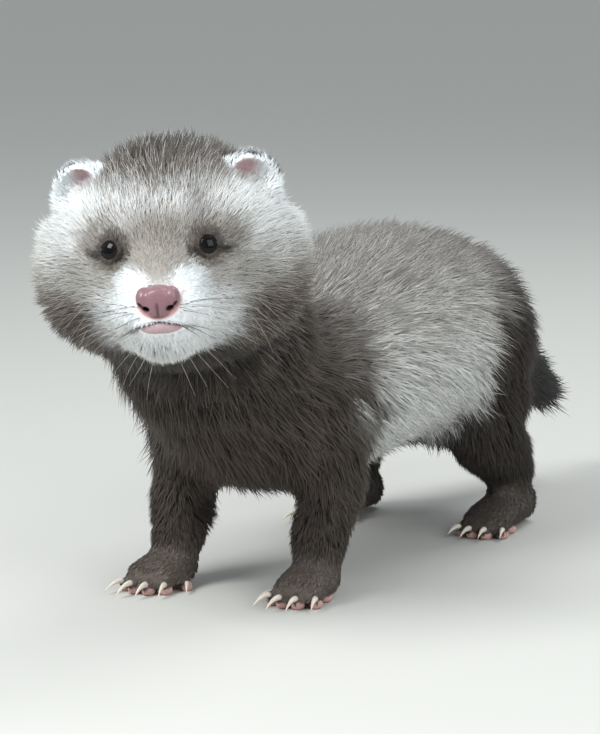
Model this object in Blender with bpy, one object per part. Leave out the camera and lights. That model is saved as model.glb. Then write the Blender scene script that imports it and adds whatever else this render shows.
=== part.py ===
# A young ferret, life size, standing on four feet with its head raised and turned a little to its left.
# Metres, +Z up, the animal faces -Y. The solids reach out to the tips of the coat.
import math

import bpy
import numpy as np
from mathutils import Matrix, Vector
from mathutils.bvhtree import BVHTree

MM = 0.001
GAP = 0.3 * MM

# Fineness of the modelling, in millimetres, triangles, sides and points.
BODY_VOXEL = 1.3
BODY_TRIANGLES = 5400
BODY_SMOOTHING = 9
NOSE_VOXEL = 0.5
NOSE_TRIANGLES = 340
NOSE_SMOOTHING = 3
LOFT_SIDES = 32
RINGS = {"trunk": 44, "tail": 24, "skull": 30, "leg": 20}
ROUND = (20, 12)
PLAIN_ROUND = (16, 10)
SMALL_ROUND = (9, 6)
# The rings of a loft's round ends, in degrees from its last section, and how far the ends reach.
END_TURNS = (25, 50, 72, 86)
END_REACH = 0.75
LID_POINTS = 16
MOUTH_POINTS = 13
CLAW_POINTS = 5
CLAW_SIDES = 5

# The trunk from the root of the tail to the back of the head:
# name: (y, z, half width, rise to the back, drop to the belly), all in millimetres.
TRUNK = {
    "tail_root": (99, 60, 15, 15, 15),
    "rump": (88, 61.5, 28.5, 27.5, 27),
    "hips": (68, 62.5, 39.5, 37, 34),
    "loin": (38, 66.5, 41.5, 38.5, 36.5),
    "waist": (9, 66.5, 41, 37.5, 37),
    "ribs": (-20, 62.5, 39.5, 36, 36),
    "chest": (-46, 59.5, 36.5, 34.5, 34),
    "shoulders": (-70, 62.5, 34.5, 33, 32.5),
    "neck_base": (-90, 76, 32, 30, 30),
    "neck": (-104, 92.5, 31.5, 29.5, 28.5),
    "nape": (-118, 108, 31.5, 29, 27.5),
    "skull_root": (-130, 113, 25, 24, 22),
}

# Legs of the left side, from inside the trunk down to the last joint above the paw:
# name: (x, y, z, half width, reach to the rear, reach to the front).
FORELEG = {
    "shoulder": (20, -65, 66, 15.5, 19, 18),
    "upper_arm": (22, -64, 50, 14.5, 17, 16),
    "elbow": (23.5, -63, 36, 12.5, 13.5, 13),
    "forearm": (24, -67, 25, 10.5, 10.5, 10.5),
    "wrist": (24.5, -71, 13, 9, 8.5, 8.5),
}
HINDLEG = {
    "hip": (19, 60, 70, 18.5, 27, 26),
    "thigh": (24, 57, 54, 16.5, 25, 25),
    "knee": (27, 51, 38, 13, 20, 18),
    "shank": (28, 61, 27, 10.5, 13.5, 12.5),
    "hock": (28.5, 71, 17, 8.5, 9, 9),
}

# Palms and soles: (x, y, z, half width, rise, drop), from the heel to the roots of the toes.
FOREPAW = {
    "heel": (24.5, -70, 6, 8, 7, 6.5),
    "palm": (25, -79, 5.6, 9.8, 6.6, 6.4),
    "toe_roots": (25.5, -87, 5, 9.8, 4.8, 5),
}
HINDPAW = {
    "heel": (28.5, 78, 7.5, 7, 8.5, 8.3),
    "sole": (29, 65, 6.6, 8.5, 7, 6.8),
    "instep": (29.8, 53, 5.6, 9.3, 6, 6.2),
    "toe_roots": (30.5, 45, 5, 9.3, 4.8, 5),
}
# Toes from the inner one outwards: (offset across the paw, offset along it, splay in degrees, size).
TOES = (
    (-8.6, 8.5, -26, 0.78),
    (-6.2, 0.5, -14, 0.95),
    (-2.2, -2.2, -4, 1.0),
    (2.2, -2.0, 5, 1.0),
    (6.2, 1.2, 16, 0.93),
)
TOE_HALF = (2.7, 5.6, 3.1)
TOE_PAD_SINK = 0.5
TOE_REACH = 2
FOREPAW_CLAW = 7.5
HINDPAW_CLAW = 6.0
CLAW_RADIUS = 1.05
CLAW_TIP_RADIUS = 0.22
CLAW_TIP_LIFT = 0.7
# Where a claw leaves its toe, as shares of the toe's half length and half height, and how it rises and curls.
CLAW_ROOT = (0.75, 0.35)
CLAW_RISE = 0.12
CLAW_CURL = 0.42

# The tail: (y, z, half width).
TAIL = {
    "root": (91, 61, 14.5),
    "base": (107, 57, 12.5),
    "middle": (129, 48.5, 10.5),
    "brush": (150, 39, 8.5),
    "end": (174, 30, 4.5),
}

# The head in its own frame: origin at the occiput on the level of the eyes, forward is -Y.
# name: (distance forward, level of the widest line, half width, rise, drop).
HEAD_AT = (0, -116, 118)
HEAD_YAW = 22
HEAD_PITCH = 4
HEAD_ROLL = -4
SKULL = {
    "occiput": (1, -8, 31, 28, 28),
    "crown": (12, -7, 36, 33, 29.5),
    "cheeks": (23, -8, 37.5, 32.5, 30),
    "temples": (34, -9, 32.5, 29.5, 27),
    "eyes": (43, -11, 24.5, 24, 22.5),
    "stop": (49, -13, 18.5, 18, 17.5),
    "muzzle": (55, -14, 14.5, 13.5, 14.5),
    "lips": (59.5, -14.5, 11.5, 10, 11.5),
    "muzzle_end": (61, -14.5, 8, 7.5, 8.5),
}
# Masses that the skull's rings leave out: (x, forward, up), (half sizes). Each is mirrored.
CHEEK = ((20, 22, -11), (18, 19, 20))
WHISKER_PAD = ((7.6, 55.5, -15.5), (8.1, 8, 6.8))
BROW = ((12, 40.5, 3.5), (7, 8, 6.5))
CHIN = ((0, 53.5, -24), (9, 9, 5.6))

EYE_SPACING = 13.6
EYE_LEVEL = 1.8
EYE_RADIUS = 4.2
EYE_SINK = 2.8
EYE_LOOK_FORWARD = 0.25
LID_OPENING = (3.4, 3.05)
LID_RADIUS = 1.0
LID_SINK = 0.42

EAR_AT = (24.5, 23.5, 14)
EAR_HALF = (9.2, 5, 10)
EAR_HOLLOW_HALF = (6.8, 4.8, 7.3)
EAR_HOLLOW_FORWARD = 3.3
EAR_HOLLOW_RISE = 0.4
EAR_TURN_OUT = 24
EAR_LEAN_BACK = 8

# The bare pad of the nose: its middle, and each mass and cut as (x, forward, up), (half sizes) from there.
NOSE_AT = (64.4, -10.9)
NOSE_PAD = ((0, 0, 0), (4.7, 4.1, 4.6))
NOSE_FOOT = ((0, -0.4, -2.7), (3.6, 3.6, 2.1))
NOSE_WING = ((4.0, -0.9, 0.9), (2.4, 3.7, 3.4))
NOSE_CLEFT = ((0, 4.6, -1.9), (0.4, 1.5, 3.4))
NOSTRIL = ((3.6, 3.1, -1.3), (1.6, 2.1, 1.0))
NOSTRIL_SLANT = -28

MOUTH_LEVEL = -17
MOUTH_HALF_WIDTH = 10
MOUTH_CORNER_DROP = 3.3
MOUTH_GROOVE = 0.75
PHILTRUM = 0.5
LOWER_LIP = 1.15
LOWER_LIP_DROP = 1.8
LOWER_LIP_SINK = 0.55
LOWER_LIP_SHARE = 0.6

# Where the body is parted.
NECK_CUT = ((0, -91, 78), 47)
HEAD_CUT = ((0, 3, 0), -18)
TAIL_CUT_Y = 96
FORELEG_CELL = {"y": -66, "half": 23, "top": 80, "inner_low": 7, "inner_high": 33}
HINDLEG_CELL = {"y": 62, "half": 31, "top": 94, "inner_low": 6, "inner_high": 33}
WRIST_CUT = 13
HOCK_CUT = 17

COLOURS = {
    "sable_fur": (0.045, 0.036, 0.031),
    "cream_fur": (0.48, 0.45, 0.38),
    "face_fur": (0.62, 0.60, 0.55),
    "ear_fur": (0.80, 0.76, 0.72),
    "nose_skin": (0.50, 0.26, 0.25),
    "eye": (0.012, 0.012, 0.014),
}
ROUGHNESS = {"eye": 0.08, "nose_skin": 0.45}
FUR_ROUGHNESS = 0.85


def clear_scene():
    for thing in list(bpy.data.objects):
        bpy.data.objects.remove(thing)


def finish_of(name):
    """The Principled material of one finish, made once."""
    if name in bpy.data.materials:
        return bpy.data.materials[name]
    made = bpy.data.materials.new(name)
    made.use_nodes = True
    shader = made.node_tree.nodes["Principled BSDF"]
    shader.inputs["Base Color"].default_value = (*COLOURS[name], 1)
    shader.inputs["Roughness"].default_value = ROUGHNESS.get(name, FUR_ROUGHNESS)
    return made


def mesh_object(name, points, faces):
    mesh = bpy.data.meshes.new(name)
    mesh.from_pydata([tuple(p) for p in points], [], faces)
    mesh.update()
    made = bpy.data.objects.new(name, mesh)
    bpy.context.scene.collection.objects.link(made)
    return made


def baked(thing):
    """The object with its modifiers applied."""
    graph = bpy.context.evaluated_depsgraph_get()
    mesh = bpy.data.meshes.new_from_object(thing.evaluated_get(graph))
    thing.modifiers.clear()
    thing.data = mesh
    return thing


def smooth_rows(rows, count):
    """Rows of numbers, read as points on one smooth curve and sampled evenly along it (Catmull-Rom)."""
    keys = np.array(rows, float)
    along = np.concatenate([[0], np.cumsum(np.linalg.norm(np.diff(keys[:, :3], axis=0), axis=1))])
    slopes = np.gradient(keys, along, axis=0)
    wanted = np.linspace(0, along[-1], count)
    index = np.clip(np.searchsorted(along, wanted) - 1, 0, len(keys) - 2)
    span = (along[index + 1] - along[index])[:, None]
    t = (wanted - along[index])[:, None] / span
    return (
        keys[index] * (2 * t**3 - 3 * t**2 + 1)
        + keys[index + 1] * (3 * t**2 - 2 * t**3)
        + slopes[index] * span * (t**3 - 2 * t**2 + t)
        + slopes[index + 1] * span * (t**3 - t**2)
    )


def tube_mesh(name, centres, across, above, shape):
    """Rings of points about the centres, joined up and closed by a point at each end.
    shape gives each ring's half width, rise and drop."""
    sides = LOFT_SIDES
    angle = np.linspace(0, 2 * math.pi, sides, endpoint=False)
    points = []
    for centre, side, up, (half, rise, drop) in zip(centres, across, above, shape):
        height = np.where(np.sin(angle) > 0, rise, drop) * np.sin(angle)
        points.extend(centre + np.outer(half * np.cos(angle), side) + np.outer(height, up))
    rings = len(centres)
    faces = []
    for ring in range(rings - 1):
        for k in range(sides):
            a = ring * sides + k
            b = ring * sides + (k + 1) % sides
            faces.append((a, b, b + sides, a + sides))
    first, last = len(points), len(points) + 1
    points.extend([centres[0], centres[-1]])
    for k in range(sides):
        faces.append((first, (k + 1) % sides, k))
        faces.append((last, (rings - 1) * sides + k, (rings - 1) * sides + (k + 1) % sides))
    return mesh_object(name, points, faces)


def loft(name, sections, count):
    """A closed, round-ended tube through sections of (x, y, z, half width, rise, drop), in millimetres."""
    rows = smooth_rows(sections, count) * MM
    centres = rows[:, :3]
    shape = rows[:, 3:]
    ways = np.gradient(centres, axis=0)
    ways /= np.linalg.norm(ways, axis=1)[:, None]
    dome = [(math.radians(a), s) for s in (-1, 1) for a in END_TURNS]
    ends = {-1: [], 1: []}
    for turn, end in dome:
        k = 0 if end < 0 else -1
        reach = END_REACH * shape[k].min() * math.sin(turn)
        ends[end].append((centres[k] + end * ways[k] * reach, ways[k], shape[k] * math.cos(turn)))
    run = ends[-1][::-1] + list(zip(centres, ways, shape)) + ends[1]
    across, above = [], []
    for _, way, _ in run:
        up = np.cross((1, 0, 0), way)
        up /= np.linalg.norm(up)
        above.append(up)
        across.append(np.cross(way, up))
    return tube_mesh(name, [r[0] for r in run], across, above, [r[2] for r in run])


def ball(name, centre, half, turn=None, fineness=ROUND):
    """An ellipsoid about a centre with half sizes in millimetres, turned by a matrix."""
    segments, rings = fineness
    bpy.ops.mesh.primitive_uv_sphere_add(segments=segments, ring_count=rings, radius=1)
    made = bpy.context.object
    made.name = name
    size = Matrix.Diagonal((*(h * MM for h in half), 1))
    place = Matrix.Translation(Vector(centre) * MM)
    made.data.transform(place @ (turn or Matrix()) @ size)
    return made


def bent_tube(name, route, radii, sides=8, closed=False, hint=(0.02, 0.31, 0.95)):
    """A tube along a route of points in metres; radii in metres, one for each point."""
    points = [np.array(p, float) for p in route]
    count = len(points)
    rings = []
    for k, point in enumerate(points):
        before = points[(k - 1) % count] if closed else points[max(k - 1, 0)]
        after = points[(k + 1) % count] if closed else points[min(k + 1, count - 1)]
        way = (after - before) / np.linalg.norm(after - before)
        side = np.cross(way, hint)
        side /= np.linalg.norm(side)
        up = np.cross(side, way)
        angle = np.linspace(0, 2 * math.pi, sides, endpoint=False)
        rings.append(point + radii[k] * (np.outer(np.cos(angle), side) + np.outer(np.sin(angle), up)))
    faces = []
    for k in range(count if closed else count - 1):
        for s in range(sides):
            a, b = k * sides + s, k * sides + (s + 1) % sides
            c, d = ((k + 1) % count) * sides + (s + 1) % sides, ((k + 1) % count) * sides + s
            faces.append((a, d, c, b))
    if not closed:
        faces.append(tuple(range(sides)))
        faces.append(tuple((count - 1) * sides + s for s in reversed(range(sides))))
    return mesh_object(name, np.concatenate(rings), faces)


def box_cell(name, centre, half, turn=None):
    bpy.ops.mesh.primitive_cube_add(size=2)
    made = bpy.context.object
    made.name = name
    place = Matrix.Translation(Vector(centre) * MM)
    size = Matrix.Diagonal((*(h * MM for h in half), 1))
    made.data.transform(place @ (turn or Matrix()) @ size)
    return made


def arch_cell(name, cell, side, grow):
    """A prism with an arch for an outline, seen from the side, whose inner face slants outwards as it rises.
    It holds one leg."""
    half, top = cell["half"] + grow, cell["top"] + grow
    arc = np.linspace(0, math.pi, 17)
    outline = [(cell["y"] + half * math.cos(a), top - half + half * math.sin(a)) for a in arc]
    outline += [(cell["y"] - half, -20), (cell["y"] + half, -20)]
    slope = (cell["inner_high"] - cell["inner_low"]) / cell["top"]
    points = []
    for y, z in outline:
        inner = cell["inner_low"] - grow + slope * z
        points.append((side * inner * MM, y * MM, z * MM))
    points += [(side * 70 * MM, y * MM, z * MM) for y, z in outline]
    count = len(outline)
    faces = [tuple(range(count)), tuple(range(2 * count - 1, count - 1, -1))]
    faces += [(k, k + count, (k + 1) % count + count, (k + 1) % count) for k in range(count)]
    if side > 0:
        faces = [tuple(reversed(face)) for face in faces]
    return mesh_object(name, points, faces)


def facing_out(thing):
    """Turns all faces outwards."""
    mesh = thing.data
    mesh.calc_loop_triangles()
    corners = np.array([[mesh.vertices[v].co for v in t.vertices] for t in mesh.loop_triangles])
    if np.einsum("ij,ij->i", corners[:, 0], np.cross(corners[:, 1], corners[:, 2])).sum() < 0:
        mesh.flip_normals()
    return thing


def with_boolean(thing, others, operation):
    """The object after one Boolean with the others, which are used up."""
    group = bpy.data.collections.new("tools")
    for other in others:
        group.objects.link(facing_out(other))
    cut = thing.modifiers.new(operation, "BOOLEAN")
    cut.operation = operation
    cut.operand_type = "COLLECTION"
    cut.collection = group
    baked(thing)
    for other in list(group.objects):
        bpy.data.objects.remove(other)
    bpy.data.collections.remove(group)
    return largest_body(thing)


def largest_body(thing):
    """Keeps the largest of the object's separate surfaces."""
    mesh = thing.data
    parent = np.arange(len(mesh.vertices))
    pairs = np.array([e.vertices[:] for e in mesh.edges])
    while True:
        low = np.minimum(parent[pairs[:, 0]], parent[pairs[:, 1]])
        updated = parent.copy()
        np.minimum.at(updated, pairs[:, 0], low)
        np.minimum.at(updated, pairs[:, 1], low)
        updated = updated[updated]
        if (updated == parent).all():
            break
        parent = updated
    label, count = np.unique(parent, return_counts=True)
    if len(label) > 1:
        keep = parent == label[count.argmax()]
        index = np.cumsum(keep) - 1
        faces = [tuple(index[v] for v in p.vertices) for p in mesh.polygons if keep[p.vertices[0]]]
        points = np.array([v.co for v in mesh.vertices])[keep]
        thing.data = bpy.data.meshes.new(thing.name)
        thing.data.from_pydata([tuple(p) for p in points], [], [tuple(map(int, f)) for f in faces])
        thing.data.update()
    return thing


def copied(thing, name):
    made = thing.copy()
    made.data = thing.data.copy()
    made.name = name
    bpy.context.scene.collection.objects.link(made)
    return made


def part_off(body, name, cell, grown_cell):
    """Takes the part inside the cell off the body, and leaves the body clear of it by the gap."""
    piece = with_boolean(copied(body, name), [cell], "INTERSECT")
    with_boolean(body, [grown_cell], "DIFFERENCE")
    return piece


def swollen(thing, amount):
    """A copy with its surface moved out by an amount in metres."""
    made = copied(thing, thing.name + "_swollen")
    push = made.modifiers.new("swell", "DISPLACE")
    push.strength = amount
    push.mid_level = 0
    return baked(made)


def seated(piece, base):
    """The piece cut to stand on the base, clear of it by the gap."""
    return with_boolean(piece, [swollen(base, GAP)], "DIFFERENCE")


def blended(name, pieces, voxel, passes, triangles):
    """The pieces as one smooth surface with about so many triangles."""
    points, faces = [], []
    for piece in pieces:
        facing_out(piece)
        faces.extend(tuple(v + len(points) for v in p.vertices) for p in piece.data.polygons)
        points.extend(v.co[:] for v in piece.data.vertices)
        bpy.data.objects.remove(piece)
    made = mesh_object(name, points, faces)
    remesh = made.modifiers.new("one_surface", "REMESH")
    remesh.mode = "VOXEL"
    remesh.voxel_size = voxel * MM
    soften = made.modifiers.new("soften", "SMOOTH")
    soften.factor = 0.5
    soften.iterations = passes
    baked(made)
    fewer = made.modifiers.new("fewer_faces", "DECIMATE")
    fewer.use_collapse_triangulate = True
    fewer.ratio = triangles / (2 * len(made.data.polygons))
    return largest_body(baked(made))


def mirrored(sections):
    """The same sections on the other side of the body."""
    return [(-row[0], *row[1:]) for row in sections]


def head_matrix():
    place = Matrix.Translation(Vector(HEAD_AT) * MM)
    yaw = Matrix.Rotation(math.radians(HEAD_YAW), 4, "Z")
    pitch = Matrix.Rotation(math.radians(HEAD_PITCH), 4, "X")
    roll = Matrix.Rotation(math.radians(HEAD_ROLL), 4, "Y")
    return place @ yaw @ pitch @ roll


def head_ball(name, spot, half, side=1, turn=None, fineness=ROUND):
    """An ellipsoid given in the head's frame as (x, forward, up)."""
    made = ball(name, (side * spot[0], -spot[1], spot[2]), half, turn, fineness)
    made.data.transform(head_matrix())
    return made


def head_point(x, forward, up):
    return head_matrix() @ (Vector((x, -forward, up)) * MM)


def trunk_piece():
    return loft("trunk", [(0, *section) for section in TRUNK.values()], RINGS["trunk"])


def tail_piece():
    return loft("tail_core", [(0, y, z, half, half, half) for y, z, half in TAIL.values()], RINGS["tail"])


def skull_pieces():
    """The head's masses, before its features."""
    rows = [(0, -ahead, level, half, rise, drop) for ahead, level, half, rise, drop in SKULL.values()]
    core = loft("skull", rows[::-1], RINGS["skull"])
    core.data.transform(head_matrix())
    pieces = [core, head_ball("chin", *CHIN)]
    for side in (-1, 1):
        for name, mass in (("cheek", CHEEK), ("whisker_pad", WHISKER_PAD), ("brow", BROW)):
            pieces.append(head_ball(name, *mass, side))
    return pieces


def leg_pieces():
    pieces = []
    for side in (-1, 1):
        for name, sections in (
            ("foreleg", FORELEG),
            ("hindleg", HINDLEG),
            ("forepaw", FOREPAW),
            ("hindpaw", HINDPAW),
        ):
            rows = list(sections.values())
            pieces.append(loft(name, rows if side > 0 else mirrored(rows), RINGS["leg"]))
    return pieces


def socket_of(head, side):
    """The centre of an eyeball and the way that it looks, found on the surface of the head."""
    tree = BVHTree.FromObject(head, bpy.context.evaluated_depsgraph_get())
    start = head_point(side * EYE_SPACING, 90, EYE_LEVEL)
    back = (head_point(0, 0, 0) - head_point(0, 1, 0)).normalized()
    spot, normal, _, _ = tree.ray_cast(start, back)
    look = (normal * (1 - EYE_LOOK_FORWARD) - back * EYE_LOOK_FORWARD).normalized()
    return spot - look * EYE_SINK * MM, look


def lid_ring(name, centre, look):
    """An almond ring of lids that lies on the eyeball."""
    up = (head_point(0, 0, 1) - head_point(0, 0, 0)).normalized()
    across = up.cross(look).normalized()
    up = look.cross(across)
    width, height = LID_OPENING
    route = []
    for turn in np.linspace(0, 2 * math.pi, LID_POINTS, endpoint=False):
        flat = across * width * math.cos(turn) + up * height * math.sin(turn)
        route.append(centre + flat * MM + look * (EYE_SINK - LID_SINK) * MM)
    return bent_tube(name, route, [LID_RADIUS * MM] * len(route), 7, True, look)


def mouth_route(head, drop=0.0, reach=1.0, sink=0.0):
    """Points along the line of the mouth, on the surface of the head or sunk into it."""
    tree = BVHTree.FromObject(head, bpy.context.evaluated_depsgraph_get())
    back = (head_point(0, 0, 0) - head_point(0, 1, 0)).normalized()
    route = []
    for share in np.linspace(-reach, reach, MOUTH_POINTS):
        x = MOUTH_HALF_WIDTH * share
        level = MOUTH_LEVEL - MOUTH_CORNER_DROP * abs(share) ** 1.5 - drop
        spot, _, _, _ = tree.ray_cast(head_point(x, 90, level), back)
        route.append(spot + back * sink * MM)
    return route


def groove(name, route, radius):
    radii = [radius * MM * (1 - 0.6 * abs(2 * k / (len(route) - 1) - 1) ** 2) for k in range(len(route))]
    return bent_tube(name, route, radii, 6)


def eyes_of(head):
    """Opens the sockets and lids of the head and returns the eyeballs."""
    eyes = []
    for side, name in ((1, "eye_left"), (-1, "eye_right")):
        centre, look = socket_of(head, side)
        with_boolean(head, [lid_ring("lids", centre, look)], "UNION")
        for grow, use in ((EYE_RADIUS + GAP / MM, "socket"), (EYE_RADIUS, name)):
            made = ball(use, centre / MM, (grow,) * 3, None, PLAIN_ROUND)
            if use == "socket":
                with_boolean(head, [made], "DIFFERENCE")
            else:
                eyes.append(made)
    return eyes


def carve_mouth(head):
    """The lower lip, the line of the mouth and the groove that runs up to the nose."""
    lip = groove("lip", mouth_route(head, LOWER_LIP_DROP, LOWER_LIP_SHARE, LOWER_LIP_SINK), LOWER_LIP)
    with_boolean(head, [lip], "UNION")
    route = mouth_route(head)
    middle = route[len(route) // 2]
    top = head_point(0, NOSE_AT[0] + 0.5, NOSE_AT[1] - 3)
    philtrum = bent_tube("philtrum", [middle, (middle + top) / 2, top], [PHILTRUM * MM] * 3, 6)
    with_boolean(head, [groove("mouth", route, MOUTH_GROOVE)], "DIFFERENCE")
    with_boolean(head, [philtrum], "DIFFERENCE")


def nose_ball(name, mass, side=1, turn=None, fineness=ROUND):
    """An ellipsoid placed from the middle of the nose."""
    (x, forward, up), half = mass
    return head_ball(name, (x, NOSE_AT[0] + forward, NOSE_AT[1] + up), half, side, turn, fineness)


def nose_pad(head):
    """The bare pad with its two wings, middle groove and nostrils, seated on the muzzle."""
    pieces = [nose_ball("pad", NOSE_PAD), nose_ball("pad_foot", NOSE_FOOT)]
    pieces += [nose_ball("wing", NOSE_WING, side) for side in (-1, 1)]
    pad = blended("nose", pieces, NOSE_VOXEL, NOSE_SMOOTHING, NOSE_TRIANGLES)
    tools = [nose_ball("cleft", NOSE_CLEFT, 1, None, SMALL_ROUND)]
    for side in (-1, 1):
        slant = Matrix.Rotation(math.radians(NOSTRIL_SLANT * side), 4, "Y")
        tools.append(nose_ball("nostril", NOSTRIL, side, slant, SMALL_ROUND))
    for tool in tools:
        with_boolean(pad, [tool], "DIFFERENCE")
    return seated(pad, head)


def ear(head, side, name):
    """A round ear with its cup, seated on the side of the crown."""
    turn = Matrix.Rotation(math.radians(EAR_TURN_OUT * side), 4, "Z")
    turn @= Matrix.Rotation(math.radians(-EAR_LEAN_BACK), 4, "X")
    shell = ball(name, (0, 0, 0), EAR_HALF)
    hollow = ball("cup", (0, -EAR_HOLLOW_FORWARD, EAR_HOLLOW_RISE), EAR_HOLLOW_HALF, None, PLAIN_ROUND)
    place = head_matrix() @ Matrix.Translation(Vector((side * EAR_AT[0], -EAR_AT[1], EAR_AT[2])) * MM) @ turn
    for thing in (shell, hollow):
        thing.data.transform(place)
    with_boolean(shell, [hollow], "DIFFERENCE")
    return seated(shell, head)


def claw_of(root, way, length):
    """A claw that leaves the toe along way and curves down to its tip."""
    route, radii = [], []
    for share in np.linspace(0, 1, CLAW_POINTS):
        fall = CLAW_CURL * length * share**2
        spot = root + way * length * share * MM + Vector((0, 0, -fall * MM))
        spot.z = max(spot.z, CLAW_TIP_LIFT * MM)
        route.append(spot)
        radii.append(MM * max(CLAW_RADIUS * (1 - share) ** 0.7, CLAW_TIP_RADIUS))
    return bent_tube("claw", route, radii, CLAW_SIDES)


def toes_of(sections, side, claw_length):
    """Toes and claws of one paw, fanned out from the roots of the toes."""
    root = sections["toe_roots"]
    pieces = []
    for across, back, splay, size in TOES:
        turn = math.radians(splay)
        way = Vector((side * math.sin(turn), -math.cos(turn), 0))
        half = [h * size for h in TOE_HALF]
        centre = Vector((side * (root[0] + across), root[1] + back, half[2] - TOE_PAD_SINK))
        spin = Matrix.Rotation(math.radians(splay * side), 4, "Z")
        pieces.append(ball("toe", centre + way * TOE_REACH, half, spin, SMALL_ROUND))
        ahead, above = CLAW_ROOT
        nail = centre + way * (TOE_REACH - 1 + half[1] * ahead) + Vector((0, 0, half[2] * above))
        pieces.append(claw_of(nail * MM, (way + Vector((0, 0, CLAW_RISE))).normalized(), claw_length * size))
    return pieces


def finish_paw(paw, sections, side, claw_length):
    """Adds the toes and claws, then cuts the underside to flats at floor level."""
    for piece in toes_of(sections, side, claw_length):
        with_boolean(paw, [piece], "UNION")
    floor = box_cell("floor", (0, 0, -50), (300, 300, 50))
    return with_boolean(paw, [floor], "DIFFERENCE")


def tilted_cell(name, spot, degrees, grow, frame=None):
    """A box on the front side of a plane through spot that leans by degrees."""
    lean = Matrix.Rotation(math.radians(degrees), 4, "X")
    cell = box_cell(name, (0, -(100 - grow), 0), (90, 100, 75))
    cell.data.transform(Matrix.Translation(Vector(spot) * MM) @ lean)
    if frame is not None:
        cell.data.transform(frame)
    return cell


def build():
    clear_scene()
    flesh = [trunk_piece(), tail_piece(), *skull_pieces(), *leg_pieces()]
    body = blended("torso", flesh, BODY_VOXEL, BODY_SMOOTHING, BODY_TRIANGLES)
    parts = {}

    head_cut = [tilted_cell("cell", *HEAD_CUT, grow, head_matrix()) for grow in (0, GAP / MM)]
    parts["head"] = part_off(body, "head", *head_cut)
    neck_cut = [tilted_cell("cell", NECK_CUT[0], -NECK_CUT[1], grow) for grow in (0, GAP / MM)]
    parts["neck"] = part_off(body, "neck", *neck_cut)
    tail_cut = [box_cell("cell", (0, TAIL_CUT_Y + 90 - grow, 60), (40, 90, 50)) for grow in (0, GAP / MM)]
    parts["tail"] = part_off(body, "tail", *tail_cut)

    for side, word in ((1, "left"), (-1, "right")):
        for limb, cell, paw, cut, sections, claw in (
            ("foreleg", FORELEG_CELL, "forepaw", WRIST_CUT, FOREPAW, FOREPAW_CLAW),
            ("hindleg", HINDLEG_CELL, "hindpaw", HOCK_CUT, HINDPAW, HINDPAW_CLAW),
        ):
            cells = [arch_cell("cell", cell, side, grow) for grow in (0, GAP / MM)]
            leg = part_off(body, f"{limb}_{word}", *cells)
            lows = [box_cell("cell", (0, 0, cut + grow - 60), (200, 300, 60)) for grow in (0, GAP / MM)]
            foot = part_off(leg, f"{paw}_{word}", *lows)
            parts[leg.name] = leg
            parts[foot.name] = finish_paw(foot, sections, side, claw)
    parts["torso"] = body

    head = parts["head"]
    carve_mouth(head)
    for eye in eyes_of(head):
        parts[eye.name] = eye
    parts["nose"] = nose_pad(head)
    for side, name in ((1, "ear_left"), (-1, "ear_right")):
        parts[name] = ear(head, side, name)

    finishes = {"head": "face_fur", "torso": "cream_fur", "nose": "nose_skin"}
    for name, thing in parts.items():
        finish = finishes.get(name, name.split("_")[0])
        finish = {"eye": "eye", "ear": "ear_fur"}.get(finish, finish)
        thing.data.materials.clear()
        thing.data.materials.append(finish_of(finish if finish in COLOURS else "sable_fur"))
        thing.data.shade_smooth()
        thing.data.set_sharp_from_angle(angle=math.radians(40))
    centre_on_floor(parts.values())


def centre_on_floor(things):
    """Moves the whole animal so that the origin lies under the middle of its box, on the floor."""
    corners = np.array([v.co for thing in things for v in thing.data.vertices])
    low, high = corners.min(0), corners.max(0)
    shift = Matrix.Translation(((low[0] + high[0]) / -2, (low[1] + high[1]) / -2, -low[2]))
    for thing in things:
        thing.data.transform(shift)


build()
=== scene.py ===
import math
import time

import bmesh
import bpy
import numpy as np
from mathutils import Matrix, Vector, bvhtree, kdtree


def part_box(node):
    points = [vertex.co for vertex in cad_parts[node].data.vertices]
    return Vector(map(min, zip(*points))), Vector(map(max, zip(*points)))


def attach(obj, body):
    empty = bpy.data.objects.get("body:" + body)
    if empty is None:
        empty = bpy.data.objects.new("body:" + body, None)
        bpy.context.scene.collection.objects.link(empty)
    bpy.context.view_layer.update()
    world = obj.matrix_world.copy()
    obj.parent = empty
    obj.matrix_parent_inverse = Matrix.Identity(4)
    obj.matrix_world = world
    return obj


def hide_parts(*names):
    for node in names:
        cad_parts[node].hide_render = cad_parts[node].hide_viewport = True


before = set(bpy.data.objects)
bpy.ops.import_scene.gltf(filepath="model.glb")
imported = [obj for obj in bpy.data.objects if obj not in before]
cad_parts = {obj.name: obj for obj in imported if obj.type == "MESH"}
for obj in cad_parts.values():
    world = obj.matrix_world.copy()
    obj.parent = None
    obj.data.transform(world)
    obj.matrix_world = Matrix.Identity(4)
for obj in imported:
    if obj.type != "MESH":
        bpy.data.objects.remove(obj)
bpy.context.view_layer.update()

mm = 0.001
started = time.time()
chance = np.random.default_rng(7)


def stage(text):
    print(f"{time.time() - started:6.1f} s  {text}")


# Sizes and places that everything shares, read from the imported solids.
def middleOf(node):
    low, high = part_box(node)
    return np.array((low + high) / 2)


def unit(rows):
    return rows / np.maximum(np.linalg.norm(rows, axis=-1, keepdims=True), 1e-12)


headPose = {"yaw": 22, "pitch": 4, "roll": -4, "eyeAhead": 48.8, "eyeLevel": 1.3}  # degrees, mm in the head's frame
headTurn = np.array(
    Matrix.Rotation(math.radians(headPose["yaw"]), 3, "Z")
    @ Matrix.Rotation(math.radians(headPose["pitch"]), 3, "X")
    @ Matrix.Rotation(math.radians(headPose["roll"]), 3, "Y")
)
eyeCentres = {"left": middleOf("eye_left"), "right": middleOf("eye_right")}
eyeMiddle = (eyeCentres["left"] + eyeCentres["right"]) / 2
headOrigin = eyeMiddle - headTurn @ np.array((0, -headPose["eyeAhead"], headPose["eyeLevel"])) * mm

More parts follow.
